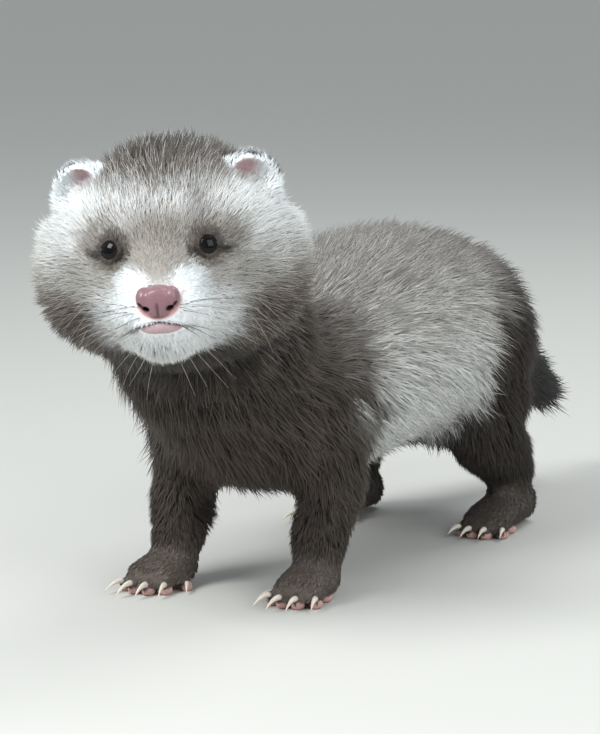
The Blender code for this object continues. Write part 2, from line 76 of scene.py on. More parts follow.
# The body's own axis, and its zero along Y, from the forepaws.
pawLow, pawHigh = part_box("forepaw_right")[0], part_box("forepaw_left")[1]
bodyShift = np.array(((pawLow.x + pawHigh.x) / 2, pawLow.y + 101.9 * mm, 0))


def inHead(points):
    # millimetres in the head's frame: across to its left, forward, up
    local = (points - headOrigin) @ headTurn / mm
    return local * (1, -1, 1)


eye = {
    "radius": 4.2, "look": (0.41, 0.842, 0.351), "pupil": 0.4, "iris": 0.66,  # pupil and iris in radians
    "openWide": 2.1, "openHigh": 2.3, "cornerReach": 0.65, "rim": 0.33, "outer": 0.67,
}


def fromHead(across, forward, up):
    return headOrigin + headTurn @ np.array((across, -forward, up)) * mm


def headWay(across, forward, up):
    return headTurn @ np.array((across, -forward, up), float)


def eyeAxes(word):
    # the line of sight, the way to the outer corner and the way up
    sign = 1 if word == "left" else -1
    look = headWay(sign * eye["look"][0], *eye["look"][1:])
    side = sign * unit(np.cross(look, headWay(0, 0, 1)))
    side = side if side @ headWay(sign, 0, 0) > 0 else -side
    up = np.cross(look, side)
    return look, side, up if up @ headWay(0, 0, 1) > 0 else -up


def besideEye(points, word):
    # distance in mm from an eye's line of sight, for the points round that eye, and the way off that line
    look = eyeAxes(word)[0]
    away = points - eyeCentres[word]
    along = away @ look
    aside = away - along[:, None] * look
    far = np.linalg.norm(aside, axis=1) / mm
    return np.where((along > 0) & (np.linalg.norm(away, axis=1) < 16 * mm), far, 99), unit(aside)


def eyePlane(points, word):
    # mm outward and up from an eye's line of sight, as seen along it
    look, side, up = eyeAxes(word)
    away = points - eyeCentres[word]
    front = (away @ look > 0) & (np.linalg.norm(away, axis=1) < 16 * mm)
    return np.where(front, away @ side / mm, 99), np.where(front, away @ up / mm, 99)


def smoothStep(x, low, high):
    t = np.clip((x - low) / (high - low), 0, 1)
    return t * t * (3 - 2 * t)


def oval(x, y, centre, half, soft=0.25):
    # 1 inside an ellipse, 0 outside, with a soft edge
    away = np.hypot((x - centre[0]) / half[0], (y - centre[1]) / half[1])
    return 1 - smoothStep(away, 1 - soft, 1 + soft)


def linear(hexText):
    channels = [int(hexText[k:k + 2], 16) / 255 for k in (0, 2, 4)]
    return np.array([c / 12.92 if c <= 0.04045 else ((c + 0.055) / 1.055) ** 2.4 for c in channels])


def addNode(tree, kind, settings=None, links=None):
    made = tree.nodes.new(kind)
    for key, value in (settings or {}).items():
        if key in made.inputs:
            made.inputs[key].default_value = value
        else:
            setattr(made, key, value)
    for socket, source in (links or {}).items():
        tree.links.new(source, made.inputs[socket])
    return made


def newMaterial(name, settings):
    material = bpy.data.materials.new(name)
    material.use_nodes = True
    shader = material.node_tree.nodes["Principled BSDF"]
    for key, value in settings.items():
        shader.inputs[key].default_value = value
    return material, material.node_tree, shader


# Skin: one surface under the whole coat.
skinShape = {
    "voxel": 0.85 * mm,
    "swell": 0.35 * mm,  # closes the thin gaps between the solids
    "smoothing": 4,
    "steps": 4,  # the drawing in is shared out over this many moves
    "spread": 45,  # passes that soften the borders between regions
    "faceReach": 27,  # mm from the nose where the surface is twice as fine
}
# Where the toes are, as in the solids: offsets from the first joint in mm, splay in degrees and size.
paws = {
    "fore": {"toeRoot": (25.5, -87.0), "claw": 8.2},
    "hind": {"toeRoot": (30.5, 45.0), "claw": 6.8},
    "toes": [(-8.6, 8.5, -26, 0.78), (-6.2, 0.5, -14, 0.95), (-2.2, -2.2, -4, 1.0), (2.2, -2.0, 5, 1.0), (6.2, 1.2, 16, 0.93)],
    "toeHalf": (2.7, 5.6, 3.1), "radius": 1.0, "curl": 0.42,
}
legNames = ["foreleg_left", "foreleg_right", "hindleg_left", "hindleg_right"]
pawNames = ["forepaw_left", "forepaw_right", "hindpaw_left", "hindpaw_right"]
earNames = ["ear_left", "ear_right"]
fleshNodes = ["head", "neck", "torso", "tail"] + legNames + pawNames + earNames
ears = {"at": (24.5, 23.5, 14), "turn": 24, "lean": 8, "hollowAhead": 3.3, "cup": (5.4, 5.4, 5.8),
        "cupLow": -2.2, "cupIn": 0.5}  # degrees, mm
regions = ["head", "neck", "torso", "tail", "foreleg", "hindleg", "forepaw", "hindpaw", "ear"]


def toePlaces(kind, side):
    rootX, rootY = paws[kind]["toeRoot"]
    for across, back, splay, size in paws["toes"]:
        turn = math.radians(splay)
        way = np.array((side * math.sin(turn), -math.cos(turn), 0))
        spot = np.array((side * (rootX + across), rootY + back, paws["toeHalf"][2] * size - 0.5))
        yield bodyShift + (spot + way * 2) * mm, way, size


def withoutClaws(points):
    # Draws the solids' claws back into the toes, as the claws are made on their own.
    for kind in ("fore", "hind"):
        for side in (-1, 1):
            for centre, way, size in toePlaces(kind, side):
                away = (points - centre) / mm
                along = away @ way
                aside = away[:, :2] @ np.array((-way[1], way[0]))
                half = np.array(paws["toeHalf"]) * size
                reach = np.sqrt((along / half[1]) ** 2 + (aside / half[0]) ** 2 + (away[:, 2] / half[2]) ** 2)
                claw = (along > half[1] * 0.5) & (np.abs(aside) < 2.4) & (along < 16) & (reach > 1.02)
                points[claw] = centre + away[claw] / reach[claw, None] * 0.98 * mm
    return points


def applied(thing):
    graph = bpy.context.evaluated_depsgraph_get()
    mesh = bpy.data.meshes.new_from_object(thing.evaluated_get(graph))
    thing.modifiers.clear()
    thing.data = mesh
    return thing


def joinedSolids(names):
    joined = bmesh.new()
    for name in names:
        one = bmesh.new()
        one.from_mesh(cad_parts[name].data)
        bmesh.ops.remove_doubles(one, verts=one.verts, dist=0.01 * mm)
        one.normal_update()
        for vertex in one.verts:
            vertex.co += vertex.normal * skinShape["swell"]
        mesh = bpy.data.meshes.new("part")
        one.to_mesh(mesh)
        if name in pawNames:
            mesh.vertices.foreach_set("co", withoutClaws(meshArrays(mesh)[0]).ravel())
        one.free()
        joined.from_mesh(mesh)
        bpy.data.meshes.remove(mesh)
    mesh = bpy.data.meshes.new("skin")
    joined.to_mesh(mesh)
    joined.free()
    thing = bpy.data.objects.new("skin", mesh)
    bpy.context.scene.collection.objects.link(thing)
    return thing


def meshArrays(mesh):
    points = np.zeros(len(mesh.vertices) * 3)
    mesh.vertices.foreach_get("co", points)
    edges = np.zeros(len(mesh.edges) * 2, np.int32)
    mesh.edges.foreach_get("vertices", edges)
    mesh.calc_loop_triangles()
    corners = np.zeros(len(mesh.loop_triangles) * 3, np.int32)
    mesh.loop_triangles.foreach_get("vertices", corners)
    return points.reshape(-1, 3), edges.reshape(-1, 2), corners.reshape(-1, 3)


def pointNormals(points, corners):
    a, b, c = (points[corners[:, k]] for k in range(3))
    face = np.cross(b - a, c - a)
    total = np.zeros_like(points)
    for k in range(3):
        for axis in range(3):
            total[:, axis] += np.bincount(corners[:, k], face[:, axis], len(points))
    return unit(total)


def spread(values, edges, passes, share=0.5):
    # Each pass moves every point's values towards the mean of its neighbours.
    flat = values.reshape(len(values), -1)
    count = np.bincount(edges.ravel(), minlength=len(flat))
    for _ in range(passes):
        total = np.empty_like(flat)
        for k in range(flat.shape[1]):
            total[:, k] = np.bincount(edges[:, 0], flat[edges[:, 1], k], len(flat))
            total[:, k] += np.bincount(edges[:, 1], flat[edges[:, 0], k], len(flat))
        flat = flat + (total / np.maximum(count, 1)[:, None] - flat) * share
    return flat.reshape(values.shape)


def regionShares(points, edges):
    # How much each point belongs to each region, from the nearest solid, with soft borders.
    marks = []
    for name in fleshNodes:
        region = regions.index(name.split("_")[0])
        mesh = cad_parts[name].data
        spots, _, corners = meshArrays(mesh)
        marks += [(spot, region) for spot in spots]
        marks += [(spot, region) for spot in spots[corners].mean(1)]
    tree = kdtree.KDTree(len(marks))
    for k, (spot, _) in enumerate(marks):
        tree.insert(spot, k)
    tree.balance()
    labels = np.array([marks[tree.find(point)[1]][1] for point in points])
    shares = np.eye(len(regions))[labels]
    return spread(shares, edges, skinShape["spread"]), labels


furDepth = {  # mm from the tips of the coat down to the skin
    "torso": 7.8, "neck": 6.3, "tailRoot": 5.4, "tailEnd": 3.6, "tailShort": 6, "ear": 0.45,
    "legTop": 6.2, "legLow": 2.0, "paw": 0.75,
    "faceFrom": [0, 8, 16, 24, 34, 46, 60], "face": [0.45, 0.7, 0.9, 1.3, 1.9, 2.6, 3.6],
}


def regionValue(shares, **values):
    # A number for each point, blended from one for each region.
    return sum(shares[:, regions.index(name)] * value for name, value in values.items())


def skinDepth(points, shares):
    local = inHead(points)
    fromNose = np.linalg.norm(local - (0, 64, -11), axis=1)
    face = np.interp(fromNose, furDepth["faceFrom"], furDepth["face"])
    for word in eyeCentres:
        far, _ = besideEye(points, word)
        face = np.minimum(face, 0.15 + 0.25 * np.maximum(far - 3.6, 0))
    height = points[:, 2] / mm
    leg = np.interp(height, [12, 30, 55], [furDepth["legLow"] * 0.7, furDepth["legLow"], furDepth["legTop"]])
    tailLow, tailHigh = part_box("tail")
    along = np.clip((points[:, 1] - tailLow.y) / (tailHigh.y - tailLow.y), 0, 1)
    tail = furDepth["tailRoot"] + (furDepth["tailEnd"] - furDepth["tailRoot"]) * along
    return regionValue(
        shares, head=face, neck=furDepth["neck"], torso=furDepth["torso"], tail=tail, foreleg=leg, hindleg=leg,
        forepaw=furDepth["paw"], hindpaw=furDepth["paw"], ear=furDepth["ear"],
    ) * mm


mouth = {"level": -16.9, "half": 7.8, "cornerDrop": 2.3, "groove": 0.9, "width": 0.5, "lip": 0.5, "philtrum": 0.4,
         "lipHigh": 1.4, "lipHalf": 6.3}


def mouthLine(across):
    return mouth["level"] - mouth["cornerDrop"] * np.abs(across / mouth["half"]) ** 1.5


def raiseLids(points):
    # The skin closes over the globe as far as the rim of the lids, and lies behind the globe inside it.
    for word, centre in eyeCentres.items():
        far, _ = besideEye(points, word)
        away = points - centre
        reach = np.linalg.norm(away, axis=1) / mm
        over = eye["radius"] + 0.32 - 0.1 * smoothStep(far, 3.2, 4.6)
        lid = smoothStep(far, 2.25, 2.6) * (1 - smoothStep(far, 3.9, 5.2))
        raised = reach + np.maximum(over - reach, 0) * lid
        behind = 1 - smoothStep(far, 2.1, 2.45)
        raised = raised + (np.minimum(raised, eye["radius"] - 0.5) - raised) * behind
        near = far < 6
        points[near] = centre + away[near] * (raised / np.maximum(reach, 0.1))[near, None]
    return points


def carveFace(points, normals):
    # The line of the mouth, the lips, the groove up to the nose and the pads that the whiskers grow from.
    across, forward, up = inHead(points).T
    front = smoothStep(forward, 44, 52)
    inMouth = front * (1 - smoothStep(np.abs(across), mouth["half"] * 0.8, mouth["half"] * 1.15))
    below = up - mouthLine(across)
    cut = -mouth["groove"] * np.exp(-((below / mouth["width"]) ** 2)) * inMouth
    lips = mouth["lip"] * np.exp(-(((below - 1.1) / 0.8) ** 2)) * inMouth
    groove = -mouth["philtrum"] * np.exp(-((across / 0.5) ** 2)) * front
    groove = groove * smoothStep(below, 0.2, 0.8) * (1 - smoothStep(up, -14, -12))
    points = raiseLids(points)
    pad = 1 - smoothStep(np.hypot(across / 5.6, (up + 10.7) / 4.2), 0.7, 1.0)
    pit = -3.4 * pad * smoothStep(forward, 60, 62)
    return points + normals * ((cut + lips + groove) * mm)[:, None] + np.outer(pit * mm, headWay(0, 1, 0))


def makeSkin():
    thing = joinedSolids(fleshNodes + ["eye_left", "eye_right"])
    whole = thing.modifiers.new("one surface", "REMESH")
    whole.mode = "VOXEL"
    whole.voxel_size = skinShape["voxel"]
    applied(thing)
    points, edges, corners = meshArrays(thing.data)
    stage(f"skin remeshed, {len(points)} points")
    points = spread(points, edges, skinShape["smoothing"])
    shares, _ = regionShares(points, edges)
    depth = skinDepth(points, shares) + skinShape["swell"]
    for _ in range(skinShape["steps"]):
        normals = pointNormals(points, corners)
        points = points - normals * (depth / skinShape["steps"])[:, None]
        points = spread(points, edges, 2)
    thing.data.vertices.foreach_set("co", points.ravel())
    # The brush of the tail goes on past its bone.
    tailLow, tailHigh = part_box("tail")
    along = (points[:, 1] - tailLow.y) / (tailHigh.y - tailLow.y)
    points[:, 1] -= furDepth["tailShort"] * smoothStep(along, 0.5, 1) * mm
    thing.data.vertices.foreach_set("co", points.ravel())
    fine = bmesh.new()
    fine.from_mesh(thing.data)
    nose = Vector(fromHead(0, 64, -11))
    reach = skinShape["faceReach"] * mm
    near = [face for face in fine.faces if (face.calc_center_median() - nose).length < reach]
    rim = list({edge for face in near for edge in face.edges})
    bmesh.ops.subdivide_edges(fine, edges=rim, cuts=1, use_grid_fill=True)
    fine.to_mesh(thing.data)
    fine.free()
    points, edges, corners = meshArrays(thing.data)
    points = spread(points, edges, 2)
    points = carveFace(points, pointNormals(points, corners))
    points[:, 2] = np.maximum(points[:, 2], 0.25 * mm)
    thing.data.vertices.foreach_set("co", points.ravel())
    thing.data.update()
    thing.data.shade_smooth()
    shares, labels = regionShares(points, edges)
    stage(f"skin drawn in, {len(corners)} triangles")
    return thing, points, edges, corners, shares, labels


skin, skinPoints, skinEdges, skinCorners, skinShares, skinLabels = makeSkin()
skinNormals = pointNormals(skinPoints, skinCorners)

# Markings: under is the colour of the skin and the wool, guard the colour of the longer hairs' tips,
# and share says how many hairs carry that tip. Some marks laid with them are painted shade: at the throat and the
# neck's underside, under the chin, along the mouth and in the ears' cups.
furColours = {name: linear(text) for name, text in {
    "white": "F0F3F5", "ivory": "E8EAE9", "cream": "E0DED9", "silver": "C6C8C6", "tan": "A8A099", "taupe": "9B948C",
    "umber": "62574F", "sable": "403833", "dark": "292421", "black": "191614",
    "pink": "D0A09C", "rose": "B8979A", "lip": "C08A90",
}.items()}
pattern = {}


def paint(name, guard, share, weight):
    # Lays one marking, or a painted shade, over those before it.
    weight = np.clip(weight, 0, 1)
    pattern["under"] += (furColours[name] - pattern["under"]) * weight[:, None]
    pattern["guard"] += (furColours[guard] - pattern["guard"]) * weight[:, None]
    pattern["share"] += (share - pattern["share"]) * weight


def paintBody():
    count = len(skinPoints)
    x = (skinPoints[:, 0] - bodyShift[0]) / mm
    y = skinPoints[:, 1] / mm + chance.normal(0, 3.5, count)
    z = skinPoints[:, 2] / mm
    nx, _, nz = skinNormals.T
    wave = 4 * np.sin(x * 0.21 + 1) + 3.5 * np.sin(z * 0.17 + y * 0.05)
    ragged = chance.normal(0, 0.12, count)
    pattern["under"] = np.tile(furColours["cream"], (count, 1))
    pattern["guard"] = np.tile(furColours["umber"], (count, 1))
    pattern["share"] = np.full(count, 0.14)
    paint("tan", "sable", 0.5, smoothStep(nz + ragged, 0.25, 1.0) * 0.85)
    paint("ivory", "taupe", 0.14, smoothStep(-nz + ragged, -0.45, 0.3) * 0.9)
    stripe = (1 - smoothStep(np.abs(x) + ragged * 20, 3, 12)) * smoothStep(-nz, 0.35, 0.8)
    paint("umber", "sable", 0.5, stripe * (1 - smoothStep(y, 10, 60)) * 0.6 + stripe * 0.4)
    front = 1 - smoothStep(y + wave, -78, -38)
    paint("umber", "sable", 0.6, front)
    paint("sable", "umber", 0.2, front * smoothStep(-y, 46, 76) * 0.95)
    paint("umber", "sable", 0.7, smoothStep(y + wave, 28, 66))
    paint("dark", "black", 0.4, smoothStep(y + wave, 46, 84) * 0.8)
    leg = regionValue(skinShares, foreleg=1.0, hindleg=1.0, forepaw=1.0, hindpaw=1.0)
    leg = smoothStep(leg + ragged, 0.05, 1.0)
    paint("sable", "umber", 0.2, leg)
    hind = smoothStep(regionValue(skinShares, hindleg=1.0, hindpaw=1.0) + ragged, 0.1, 1.0)
    paint("dark", "sable", 0.4, hind * 0.85)
    paint("umber", "tan", 0.25, regionValue(skinShares, forepaw=0.8, hindpaw=0.5))
    paint("dark", "black", 0.5, smoothStep(regionValue(skinShares, tail=1.0) + smoothStep(y, 88, 100), 0.2, 1) * 0.8)
    paint("black", "black", 0.5, regionValue(skinShares, tail=1.0) * smoothStep(y, 115, 155))
    neck = smoothStep(regionValue(skinShares, neck=1.0) + ragged, 0.15, 0.85)
    paint("dark", "umber", 0.3, neck * 0.9)
    # The underside of the neck darker: its own dark fur together with painted shade under the head.
    paint("dark", "umber", 0.25, neck * smoothStep(-nz + ragged, -0.3, 0.4) * 0.9)


def paintHead():
    across, forward, up = (inHead(skinPoints) + chance.normal(0, 0.7, skinPoints.shape)).T
    side = np.abs(across)
    on = smoothStep(regionValue(skinShares, head=1.0, ear=1.0), 0.1, 0.9)
    paint("umber", "tan", 0.28, on)
    face = on * smoothStep(forward, 3, 18)
    paint("cream", "white", 0.66, face * smoothStep(up, -20, -6) * (1 - smoothStep(up, 13, 19)))
    forehead = smoothStep(up, 4, 9) * (1 - smoothStep(up, 13, 17)) * (1 - smoothStep(side, 14, 20))
    paint("tan", "white", 0.58, face * forehead * 0.85)
    paint("umber", "silver", 0.16, on * smoothStep(up, 11.5, 18) * (1 - smoothStep(side, 20, 28) * 0.5))
    paint("dark", "tan", 0.24, on * smoothStep(up, 17, 23) * (1 - smoothStep(side, 17, 26)) * 0.8)
    paint("taupe", "cream", 0.35, on * smoothStep(side, 23, 33) * (1 - smoothStep(up, -8, 4)) * 0.85)
    mask = oval(across, up, (0, 1.5), (12.5, 8), 0.3)
    for sign in (-1, 1):
        mask = np.maximum(mask, oval(across, up, (sign * 14.6, 1.4), (7.6, 6.4), 0.3))
        mask = np.maximum(mask, oval(across, up, (sign * 18, -5), (8.5, 5.2), 0.45) * 0.72)
    mask = np.maximum(mask, (1 - smoothStep(side, 2.2, 4.6)) * smoothStep(up, -8, -5) * (1 - smoothStep(up, 3, 8)))
    paint("taupe", "umber", 0.25, face * mask * 0.98)
    muzzle = oval(across, up, (0, -18), (19, 11.5), 0.25)
    for sign in (-1, 1):
        muzzle = np.maximum(muzzle, oval(across, up, (sign * 7.6, -6.6), (4.4, 3.4), 0.4))
    muzzle = muzzle * (1 - 0.7 * (1 - smoothStep(side, 1.8, 3.6)) * smoothStep(up, -8, -5))
    paint("white", "white", 0.5, on * smoothStep(forward, 28, 40) * muzzle)
    paint("tan", "tan", 0.4, on * oval(across, up, (0, -5.4), (3.2, 2.6), 0.6) * 0.6)
    paint("umber", "sable", 0.4, on * oval(across, up, (10.2, 9.5), (2.0, 6), 0.6) * 0.45)
    # A silver patch under the chin, greyer than the white muzzle: painted shade under the lip.
    paint("silver", "white", 0.5, on * oval(across, up, (0, -27), (10, 3), 0.5) * 0.7)
    low = smoothStep(-up, 3, 16) * smoothStep(side, 17, 27)
    paint("umber", "tan", 0.3, on * low * 0.95)
    paint("sable", "tan", 0.2, on * smoothStep(-up, 12, 22) * smoothStep(side, 17, 27) * 0.8)
    # The throat: the fur's own dark colour, darkened further as painted shade under the head.
    throat = smoothStep(-up, 24.5, 28.5) * (1 - smoothStep(forward, 44, 54))
    paint("dark", "umber", 0.3, on * throat)
    for word in eyeCentres:
        out, high = eyePlane(skinPoints, word)
        out, high = out + chance.normal(0, 0.25, len(out)), high + chance.normal(0, 0.25, len(out))
        paint("umber", "sable", 0.5, on * 0.8 * oval(out, high, (-0.3, 0.4), (5.4, 5.0), 0.3))
        paint("sable", "dark", 0.5, on * 0.85 * oval(out, high, (-0.2, 0.5), (3.9, 3.9), 0.25))
        paint("dark", "black", 0.7, on * 0.9 * oval(out, high, (4.6, -1.6), (2.9, 1.0), 0.5))
        paint("dark", "black", 0.6, on * 0.85 * oval(out, high, (-3.9, -1.9), (2.6, 1.3), 0.5))


def paintEars():
    # White velvet backs and broad white rims round a small pink cup, low and towards the face; the cup's pink is
    # darkened as painted shade in the hollow.
    inside, hollow = np.zeros(len(skinPoints)), np.zeros(len(skinPoints))
    for side in (-1, 1):
        turn = Matrix.Rotation(math.radians(ears["turn"] * side), 3, "Z")
        turn = np.array(turn @ Matrix.Rotation(math.radians(-ears["lean"]), 3, "X"))
        local = (inHead(skinPoints) - (side * ears["at"][0], *ears["at"][1:])) * (1, -1, 1)
        local = local @ turn - (-side * ears["cupIn"], -ears["hollowAhead"], -ears["cupLow"])
        far = np.linalg.norm(local / ears["cup"], axis=1)
        inside = np.maximum(inside, 1 - smoothStep(far, 0.9, 1.15))
        hollow = np.maximum(hollow, 1 - smoothStep(far, 1.15, 1.35))
    ear = regionValue(skinShares, ear=1.0)
    inside, hollow = inside * smoothStep(ear, 0.3, 0.7), hollow * smoothStep(ear, 0.3, 0.7)
    paint("white", "white", 0.5, smoothStep(ear, 0.25, 0.7))
    behind = smoothStep(skinNormals @ headWay(0, -1, 0), 0.1, 0.7) * (1 - smoothStep(inHead(skinPoints)[:, 2], 15, 21))
    paint("umber", "silver", 0.4, behind * smoothStep(ear, 0.25, 0.7) * 0.8)
    # The cup's rose is its own pink skin, darkened as painted shade in the hollow of the ear.
    paint("rose", "rose", 0.35, inside)
    return inside, hollow


def paintBareSkin():
    # Pink where the lips meet and round the pad of the nose, with a dark line of painted shade along the mouth's
    # groove.
    across, forward, up = inHead(skinPoints).T
    below = up - mouthLine(across)
    near = smoothStep(forward, 48, 54)
    shut = np.clip(1 - (across / mouth["lipHalf"]) ** 2, 0, 1) ** 0.7
    lips = near * smoothStep(below, -2.2 * mouth["lipHigh"] * shut - 0.3, -1.9 * mouth["lipHigh"] * shut)
    lips = lips * (1 - smoothStep(below, 0.1, 0.5)) * smoothStep(shut, 0, 0.1)
    paint("lip", "lip", 0, lips)
    # A dark line along the groove of the mouth: painted shade in the crease.
    line = near * np.exp(-((below / 0.45) ** 2)) * (1 - smoothStep(np.abs(across), 7.5, 9.5))
    paint("sable", "sable", 0, line * 0.8)
    fromNose = np.hypot(across / 6.9, (up + 10.9) / 5.2)
    pad = (1 - smoothStep(fromNose, 0.88, 1.02)) * smoothStep(forward, 60, 62)
    paint("pink", "pink", 0, pad)
    return np.maximum(lips, pad)


paintBody()
paintHead()
earInside, earHollow = paintEars()
bareSkin = paintBareSkin()
stage("markings laid out")


def giveColours(mesh, name, colours):
    layer = mesh.color_attributes.new(name, "FLOAT_COLOR", "POINT")
    layer.data.foreach_set("color", np.column_stack([colours, np.ones(len(colours))]).astype(np.float32).ravel())


def hairMaterial(name, roughness, sheen):
    # Keratin has an IOR of about 1.55; many fine hairs together scatter most light, with a faint sheen.
    material, tree, shader = newMaterial(name, {
        "Roughness": roughness, "IOR": 1.55, "Specular IOR Level": 0.2,
        "Sheen Weight": sheen, "Sheen Roughness": 0.45,
    })
    colour = addNode(tree, "ShaderNodeVertexColor", {"layer_name": "markings"})
    # Locks about 9 mm across differ a little in depth of colour.
    place = addNode(tree, "ShaderNodeTexCoord")
    locks = addNode(tree, "ShaderNodeTexNoise", {"Scale": 1 / (9 * mm), "Detail": 3}, {"Vector": place.outputs["Object"]})
    light = addNode(tree, "ShaderNodeMapRange", {"From Min": 0.3, "From Max": 0.7, "To Min": 0.88, "To Max": 1.08},
                    {"Value": locks.outputs["Fac"]})
    tone = addNode(tree, "ShaderNodeHueSaturation", {}, {"Color": colour.outputs["Color"], "Value": light.outputs["Result"]})
    tree.links.new(tone.outputs["Color"], shader.inputs["Base Color"])
    return material


def skinMaterial():
    # Soft skin with the nap of the shortest fur: bumps about a hair apart, drawn coarser so that they show.
    material, tree, shader = newMaterial("skinUnderFur", {
        "Roughness": 0.68, "IOR": 1.45, "Specular IOR Level": 0.3, "Subsurface Weight": 0.12,
        "Subsurface Scale": 1.2 * mm,
    })
    shader.inputs["Subsurface Radius"].default_value = (1, 0.4, 0.25)
    colour = addNode(tree, "ShaderNodeVertexColor", {"layer_name": "markings"})
    place = addNode(tree, "ShaderNodeTexCoord")
    nap = addNode(tree, "ShaderNodeTexNoise", {"Scale": 1 / (0.55 * mm), "Detail": 3}, {"Vector": place.outputs["Object"]})
    bump = addNode(tree, "ShaderNodeBump", {"Strength": 0.35, "Distance": 0.25 * mm}, {"Height": nap.outputs["Fac"]})
    tree.links.new(colour.outputs["Color"], shader.inputs["Base Color"])
    tree.links.new(bump.outputs["Normal"], shader.inputs["Normal"])
    return material


giveColours(skin.data, "markings", pattern["under"])
skin.data.materials.clear()
skin.data.materials.append(skinMaterial())
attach(skin, "root")
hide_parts(*fleshNodes)

# Coat: how the fur lies, how long it is and how close it grows, for every point of the skin.
coat = {
    "hairs": 245000,
    "tuftOf": 6,
    "bend": 0.42,  # where along a hair it bends over
    "sink": 0.35 * mm,
    "most": 31000,  # hairs in one piece, so that it keeps under 200,000 triangles
    "patch": 0.003,
    "side": 45.3 * mm,
}


def layOfFur():
    # Along the body from nose to tail and down the legs, with a slow wander.
    local = inHead(skinPoints)
    noseOut = local - (0, 66, -9)
    noseOut[:, 2] = noseOut[:, 2] * 1.1
    away = np.linalg.norm(noseOut, axis=1)
    back = smoothStep(away, 40, 75)[:, None]
    headFlow = unit(noseOut) * (1 - back) + np.array((0, -1, -0.45)) * back
    headFlow = headFlow * (1, -1, 1) @ headTurn.T
    side = np.abs(skinNormals[:, 0])
    down = np.clip(-skinNormals[:, 2], 0, 1)
    ones = np.ones(len(skinPoints))
    zeros = np.zeros(len(skinPoints))
    torsoFlow = np.column_stack([zeros, ones, -0.55 * side + 0.1 * down])
    neckFlow = np.tile((0, 0.75, -0.75), (len(skinPoints), 1))
    tailLow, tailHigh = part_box("tail")
    tailFlow = np.tile(unit(np.array((0, 75.0, -30.0))), (len(skinPoints), 1))
    legFlow = np.tile((0, 0.28, -1), (len(skinPoints), 1))
    pawFlow = np.tile((0, -1, -0.3), (len(skinPoints), 1))
    earFlow = np.zeros((len(skinPoints), 3))
    for name in earNames:
        centre = middleOf(name)
        away = skinPoints - centre
        near = np.linalg.norm(away, axis=1) < 16 * mm
        root = headWay(-0.6 if name == "ear_left" else 0.6, 0.15, -1.0) * 9 * mm
        earFlow[near] = unit(away[near] - root)
    flows = {"head": headFlow, "neck": neckFlow, "torso": torsoFlow, "tail": tailFlow, "foreleg": legFlow,
             "hindleg": legFlow, "forepaw": pawFlow, "hindpaw": pawFlow, "ear": earFlow}
    flow = sum(skinShares[:, [regions.index(name)]] * way for name, way in flows.items())
    p = skinPoints / mm
    wander = np.column_stack([
        np.sin(p[:, 1] * 0.23 + p[:, 2] * 0.11), np.sin(p[:, 2] * 0.31 + p[:, 0] * 0.17), np.sin(p[:, 0] * 0.27 + 2),
    ]) * 0.14
    flow = unit(flow + wander)
    flow -= skinNormals * np.sum(flow * skinNormals, axis=1)[:, None]
    flow = spread(unit(flow), skinEdges, 12)
    for word in eyeCentres:
        far, out = besideEye(skinPoints, word)
        flow = flow + out * (1.6 * (1 - smoothStep(far, 3.5, 7.5)))[:, None]
    flow -= skinNormals * np.sum(flow * skinNormals, axis=1)[:, None]
    return unit(flow)


